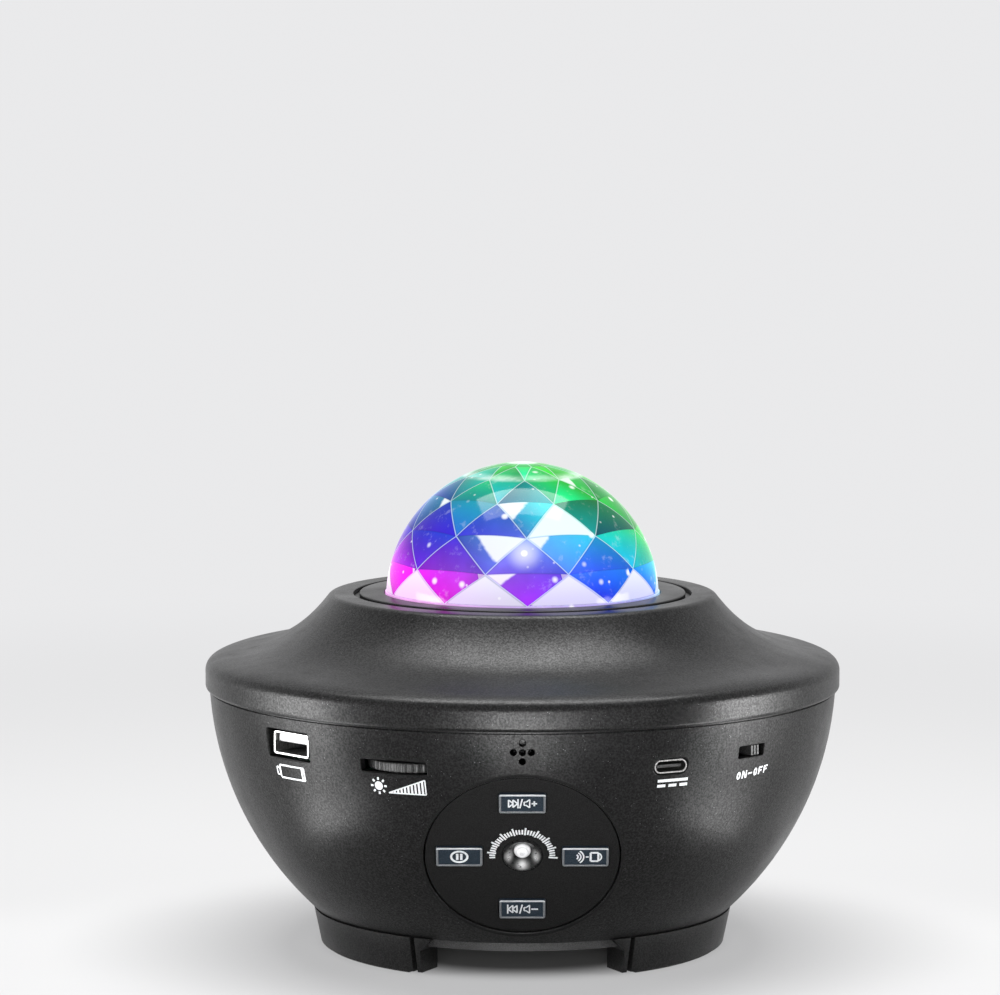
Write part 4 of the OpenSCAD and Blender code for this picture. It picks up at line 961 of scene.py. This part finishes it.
def make_cup():
    """The reflector cup: dark, with three soft painted highlights round the window in its middle."""
    low, flange = PANEL_BACK - 1.3, PANEL_BACK - 0.1
    profile = [(CUP_THROAT_R, low), (CUP_FLANGE_R, low), (CUP_FLANGE_R, flange), (CUP_R, flange)]
    profile += [(CUP_R, -PANEL_DROP - 0.1), (CUP_R - 0.1, -PANEL_DROP), (CUP_R - 0.5, -PANEL_DROP)]
    top, end = (CUP_R - 0.6, -PANEL_DROP - 0.08), (CUP_THROAT_R, PANEL_BACK - PANEL_DROP)
    profile += [lerp(top, end, i / 6) for i in range(7)]
    piece = turned("receiver_cup", profile, lambda a, r, h: on_panel(r * cos(a), r * sin(a), h), 120, "cup", 40)
    # Strength of the painted highlights: three spots round the window.
    painted_highlight = []
    for vertex in piece.data.vertices:
        place = vertex.co / MM - on_panel(0, 0, 0)
        u, v = place.x, place.dot(PANEL_UP)
        turn, r = degrees(atan2(v, u)), hypot(u, v)
        near = min(abs((turn - spot_turn + 180) % 360 - 180) for spot_turn in (-8, 188, 270))
        painted_highlight.append(exp(-((near / 20) ** 2)) * max(0, 1 - abs(r - 3.4) / 1.1))
    piece.data.attributes.new("painted_highlight", "FLOAT", "POINT").data.foreach_set("value", painted_highlight)
    finish_piece(piece, ["ir_reflector"])


BUTTONS = {"up": (0, REACH_Y), "down": (0, -REACH_Y), "left": (-REACH_X, 0), "right": (REACH_X, 0)}


def make_wheel():
    """The thumbwheel: rounded ridges round its edge, and its shaft."""
    middle_r = bowl_r(SLOT_Z) + WHEEL_PROUD - WHEEL_R
    centre = polar(radians(DIMMER_AZ + WHEEL_TURN), middle_r, SLOT_Z)
    edge, ridge, steps = 0.35, 0.45, WHEEL_RIDGES * 8

    def around(r, t, h):
        return centre + Vector((r * cos(t), r * sin(t), h))

    def section(h, inset):
        turns = [2 * pi * k / steps for k in range(steps)]
        dips = [ridge * (0.5 - 0.5 * cos(WHEEL_RIDGES * t)) ** 2 for t in turns]
        return [around(WHEEL_R - inset - dip, t, h) for t, dip in zip(turns, dips)]

    half = WHEEL_T / 2
    rims = [(edge * (1 - sin(t)), edge * (1 - cos(t))) for t in (0.0, 0.5, 1.0, pi / 2)]
    sections = [section(-half + down, inset) for inset, down in rims]
    sections += [section(half - down, inset) for inset, down in reversed(rims)]
    wheel = loft("thumb_wheel", sections, "wheel", 50)
    shaft_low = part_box("dimmer_wheel")[0][2] / MM - SLOT_Z
    shaft = [[around(SHAFT_R, k / 5 * pi, h) for k in range(10)] for h in (shaft_low, -half + 0.1)]
    wheel = joined([wheel, loft("thumb_shaft", shaft, "wheel")])
    finish_piece(wheel, ["dimmer_wheel"], "dimmer")


def panel_at(x, y, z=0.0):
    """The panel frame moved to a spot on the panel."""
    return lambda u, v, h: on_panel(x + u, y + v, z + h)


def make_panel():
    """The round panel: a matte disc with soft openings for the buttons and the reflector cup."""
    edge = 0.25
    layers = [(-0.05, PANEL_BACK), (0, PANEL_BACK + 0.05), (0, -PANEL_DROP - edge)]
    layers += rounded(edge, -PANEL_DROP, -1)
    piece = loft("panel_disc", [panel_circle(PANEL_R + grow, up) for grow, up in layers], "panel")
    gap, cup_d, depth = 0.4, 10, 4
    cutters = [
        mouth(panel_at(x, y, -PANEL_DROP), BUTTON_W + gap, BUTTON_H + gap, 0.8, 0.2, depth)
        for x, y in BUTTONS.values()
    ]
    cutters.append(mouth(panel_at(0, 0, -PANEL_DROP), cup_d, cup_d, cup_d / 2, 0.15, depth))
    cut(piece, [joined(cutters)])

    def normal_at(p):
        return PANEL_OUT if abs((p - on_panel(0, 0, -PANEL_DROP)).dot(PANEL_OUT)) < 0.002 else None

    surface_normals(piece, normal_at)
    finish_piece(piece, ["control_panel"])


def make_button(name):
    """A cap with a rounded raised rim round a dished face, on its lip and stem."""
    place = panel_at(*BUTTONS[name])
    lip, flange = PANEL_BACK - 0.05, 0.8
    round_r, rim = 0.16, 0.45
    # How far inside the rim's edge, and how far below its top
    dish = ((-0.08, 0), (0, 0.03), (0.08, 0.12), (0.16, 0.22), (0.5, BUTTON_DISH))
    layers = [(flange, lip - flange), (flange, lip), (0, lip), (0, BUTTON_TOP - round_r)]
    layers += rounded(round_r, BUTTON_TOP, -1) + [(-rim - inside, BUTTON_TOP - drop) for inside, drop in dish]
    cap = stack("cap_" + name, place, layers, BUTTON_W, BUTTON_H, 0.6, "button")
    stem = [[place(*p, h) for p in circle(STEM_R, 32)] for h in (STEM_END, lip - flange / 2)]
    middle = place(0, 0, 0)

    def on_rim(c):
        return (c - middle).dot(PANEL_OUT) > BUTTON_TOP - round_r

    # Painted highlights: the rim lighter, and its upper side lighter still.
    paint_faces(cap, "rim_painted_highlight", on_rim)
    paint_faces(cap, "rim_top_painted_highlight", lambda c: on_rim(c) and (c - middle).dot(PANEL_UP) > BUTTON_H / 2 - rim)
    cap = joined([cap, loft("stem_" + name, stem, "button")])
    finish_piece(cap, ["button_" + name], name + "_button")


# ---- legends


def rectangle(left, right, half):
    """Corners of a rectangle that is level with the mark's middle."""
    return [(left, -half), (left, half), (right, half), (right, -half)]


def outlined(points, width=0.34):
    """A closed line of strokes through the points."""
    return [bar(*a, *b, width) for a, b in zip(points, points[1:] + points[:1])]


def skip_marks(x, way):
    """Two hollow triangles against a bar."""
    shapes = []
    for k in (0, 1):
        tip, base = x + way * (1.15 + 1.05 * k), x + way * 1.05 * k
        shapes += outlined([(base, 1.15), (base, -1.15), (tip, 0)])
    return shapes + [bar(x + way * 2.3, -1.4, x + way * 2.3, 1.4, 0.36)]


def button_legends():
    """Skip forward and louder, skip back and quieter, pause, and sound source."""
    top = BUTTON_TOP - BUTTON_DISH
    horn = [(0.45, -0.5), (0.45, 0.5), (0.95, 0.5), (1.8, 1.25), (1.8, -1.25), (0.95, -0.5)]
    loud = [bar(-0.62, -1.4, 0.0, 1.4, 0.36)] + outlined(horn, 0.32)
    waves = [ring(-2.6, 0, r, r, 0.36, -55, 55, 12) for r in (0.8, 1.5, 2.2)] + [bar(0.1, 0, 0.8, 0, 0.36)]
    marks = {
        "up": skip_marks(-3.35, 1) + loud + [bar(2.25, 0, 3.6, 0, 0.4), bar(2.92, -0.75, 2.92, 0.75, 0.4)],
        "down": skip_marks(-1.3, -1) + loud + [bar(2.25, 0, 3.9, 0, 0.4)],
        "left": [ring(0, 0, 2.0, 1.66, 0.52), bar(-0.5, -0.95, -0.5, 0.95, 0.6), bar(0.5, -0.95, 0.5, 0.95, 0.6)],
        "right": waves + outlined(rectangle(1.3, 3.2, 1.3), 0.5) + [ring(2.6, 0, 1.35, 1.35, 0.34, -60, 60, 12)],
    }
    for name, shapes in marks.items():
        piece = legend("legend_" + name, shapes, panel_at(*BUTTONS[name], top), 0.03, 0.02)
        finish_piece(piece, body=name + "_button")


def panel_legend():
    """An arc of short strokes over the receiver window."""
    long, short = (6.5, 8.7), (6.7, 8.1)
    shapes = [spoke(-4 + 188 * k / 34, *(short if k % 4 else long), 0.42) for k in range(35)]
    finish_piece(legend("legend_receiver", shapes, panel_at(0, 0, -PANEL_DROP)))


def letter(kind, x):
    """A stroke or one of the letters of ON and OFF, from x to the right."""
    half, w, t = 0.975, 1.25, 0.38
    if kind == "-":
        return [bar(x - 0.1, 0, x + 1.35, 0, 0.36)]
    if kind == "O":
        return [ring(x + w / 2, 0, w / 2 - t / 2, half - t / 2, t)]
    stem = [bar(x, -half, x, half, t)]
    if kind == "N":
        return stem + [bar(x, half, x + w, -half, t), bar(x + w, -half, x + w, half, t)]
    return stem + [bar(x, half - t / 2, x + w, half - t / 2, t), bar(x, 0, x + w * 0.8, 0, t)]


def bowl_legends():
    """The marks under the four openings: battery, sun and ramp, direct current, ON-OFF."""
    battery = outlined(rectangle(-4.0, 4.9, 1.6), 0.42) + outlined(rectangle(-5.3, -4.2, 0.95), 0.42)
    battery += [bar(4.15, -1.5, 4.15, 1.5, 0.5)]
    sun = [(circle(1.1, 24), [tuple(range(24))])] + [spoke(45 * k, 1.5, 2.15, 0.5) for k in range(8)]
    length, rise = 9.8, 3.7
    ramp = outlined([(0, 0), (length, rise), (length, 0)], 0.3)
    for k in range(9):
        x = k * 0.93 + 1.6
        ramp.append(bar(x, 0, x, rise * x / length, 0.52))
    power = [bar(-4.2, 0.75, 4.2, 0.75, 0.7)]
    power += [bar(-4.2 + k * 3.1, -0.55, -2.0 + k * 3.1, -0.55, 0.7) for k in range(3)]
    switch = [stroke for k, kind in enumerate("ON-OFF") for stroke in letter(kind, 2.0 * k - 6.0)]
    slope = 0.07
    switch = [([(x, y + slope * x) for x, y in points], faces) for points, faces in switch]
    for name, shapes, az, z in (
        ("legend_battery", battery, -46.4, 52.9),
        ("legend_sun", sun, -26.3, 52.4),
        ("legend_ramp", ramp, -24.4, 50.8),
        ("legend_power", power, 27.6, 53.0),
        ("legend_switch", switch, 46.3, 53.2),
    ):
        finish_piece(legend(name, shapes, on_bowl(az, z), 0.05))


# ---- finishes of the CAD pieces that stay

FINISH = {
    "plastic_black": "base_plate slide_knob switch_bodies board_chips usb_c_insulator ir_receiver slide_switch "
                     "bridge_plate",
    "tongue": "usb_a_insulator",
    "plastic_white": "plunger_up plunger_down plunger_left plunger_right motor_pinion",
    "rubber": "rubber_pads speaker_gasket",
    "screw": "base_screws button_board_screws board_screws bridge_screws motor_screws star_pin disc_spindle",
    "steel": "usb_a_shell usb_c_shell speaker_basket gear_motor",
    "felt": "microphone",
    "ball": "ir_window",
    "aluminium": "heat_sink",
    "brass": "laser_tube",
    "magnet": "speaker_magnet",
    "surround": "speaker_surround",
    "paper": "speaker_cone",
    "board": "button_board main_board led_board",
    "window": "laser_lens colour_leds",
    "disc": "ripple_disc",
    "grating": "star_wheel",
    "wheel": "dimmer_pot",
}


def finish_cad_nodes():
    """Gives the CAD pieces their materials."""
    for kind, names in FINISH.items():
        for name in names.split():
            node = frame["nodes"][name]
            if not node.data.materials:
                node.data.materials.append(MATERIAL[kind])
            for slot in node.material_slots:
                slot.material = MATERIAL[kind]


# ---- stage, lights and camera

BACKDROP = (0.82, 0.82, 0.83)
FLOOR_ALBEDO, FLOOR_GLOW, WORLD_FILL = 0.32, 0.45, 0.28
# Distances in metres over which the floor turns from a painted shadow under the object to its own tone, and then into
# the backdrop
FLOOR_SHADE, FLOOR_FADE = (0.036, 0.056), (0.22, 0.75)
MIDDLE = (0, 0, 0.06)
LENS, SENSOR = 152.81, 36
CAMERA_PLACE, CAMERA_PITCH, CAMERA_YAW = (0, -1.0978, 0.22526), -5.672, 0.305


def backdrop_rays(tree):
    """1 for the rays that see the plain backdrop: camera, mirror and glass rays."""
    path = tree.nodes.new("ShaderNodeLightPath")
    total = path.outputs["Is Camera Ray"]
    for ray in ("Is Glossy Ray", "Is Transmission Ray"):
        add = having(tree.nodes.new("ShaderNodeMath"), operation="ADD", use_clamp=True)
        tree.links.new(total, add.inputs[0])
        tree.links.new(path.outputs[ray], add.inputs[1])
        total = add.outputs["Value"]
    return total


def make_floor():
    """A pale floor: a painted shadow under the object, where its glow is held off, the backdrop's plain tone further
    out, and clear from below.
    """
    reach = 12000
    points = [(x * reach, y * reach, 0) for x, y in ((-1, -1), (1, -1), (1, 1), (-1, 1))]
    n = Nodes("floor_pale")
    away = n.distance(Vector())
    far = n.span(away, *FLOOR_FADE)
    speck = n.eased(n.noise(1.2, 4), 0.985, 1.0)
    near_tone = n.mix(1.0, grey(FLOOR_ALBEDO), speck, "MULTIPLY")
    # The glow is held off under the object: a painted shadow there.
    own = n.times(n.span(far, 0, 1, FLOOR_GLOW, 1, "LINEAR"), n.span(away, *FLOOR_SHADE))
    n.put(
        base_color=n.mix(far, near_tone, BLACK),
        roughness=0.8,
        specular_ior_level=0.0,
        emission_color=BACKDROP,
        emission_strength=n.times(backdrop_rays(n.tree), own),
    )
    below, clear = n.new("NewGeometry", "Backfacing"), n.new("BsdfTransparent", "BSDF")
    see_through = n.new("MixShader", "Shader", {0: below, 1: n.shader.outputs["BSDF"], 2: clear})
    n.set(n.tree.nodes["Material Output"], "Surface", see_through)
    floor = mesh_piece("studio_floor", points, [(0, 1, 2, 3)])
    floor.data.materials.append(n.material)


def make_light(name, place, target, size, power, spread):
    """A rectangular lamp; lengths in metres, power in watts, spread in degrees."""
    data = bpy.data.lights.new(name, "AREA")
    having(data, shape="RECTANGLE", size=size[0], size_y=size[1], energy=power, spread=radians(spread))
    turn = (Vector(target) - Vector(place)).to_track_quat("-Z", "Y").to_euler()
    having(linked(name, data), visible_camera=False, location=place, rotation_euler=turn)


def make_world():
    """Plain backdrop where it is seen, and a fainter fill light of the same colour."""
    bpy.context.scene.world = world = having(bpy.data.worlds.new("studio"), use_nodes=True)
    tree = world.node_tree
    background = tree.nodes["Background"]
    background.inputs["Color"].default_value = (*BACKDROP, 1)
    level = tree.nodes.new("ShaderNodeMapRange")
    level.inputs["To Min"].default_value = WORLD_FILL
    tree.links.new(backdrop_rays(tree), level.inputs["Value"])
    tree.links.new(level.outputs["Result"], background.inputs["Strength"])


def make_camera():
    """The camera fitted to the photograph."""
    data = having(bpy.data.cameras.new("camera"), lens=LENS, sensor_width=SENSOR)
    turn = (radians(90 + CAMERA_PITCH), 0, radians(CAMERA_YAW))
    bpy.context.scene.camera = having(linked("camera", data), location=CAMERA_PLACE, rotation_euler=turn)


make_bowl()
make_cover()
make_ring()
make_dome()
make_foot("arc_foot_right", 1)
make_foot("arc_foot_left", -1)
make_panel()
make_cup()
make_wheel()
for button in BUTTONS:
    make_button(button)
button_legends()
panel_legend()
bowl_legends()
finish_cad_nodes()
make_floor()
make_light("softbox_top", (0, 0.08, 0.93), MIDDLE, (0.8, 0.46), 14, 180)
for way, side in ((-1, "left"), (1, "right")):
    make_light("low_" + side, (way * 0.19, -0.045, 0.055), (0, 0, 0.062), (0.12, 0.09), 0.1, 64)
    make_light("strip_" + side, (way * 0.153, -0.074, 0.016), (way * 0.136, -0.0697, 0.116), (0.045, 0.14), 0.16, 150)
make_light("front_strip", (0, -0.38, 0.035), (0, 0, 0.065), (0.36, 0.05), 0.12, 50)
make_light("low_front", (0, -0.2, 0.03), (0, -0.08, 0.06), (0.06, 0.05), 0.04, 90)
make_world()
make_camera()
bpy.context.scene.view_settings.view_transform = "Standard"
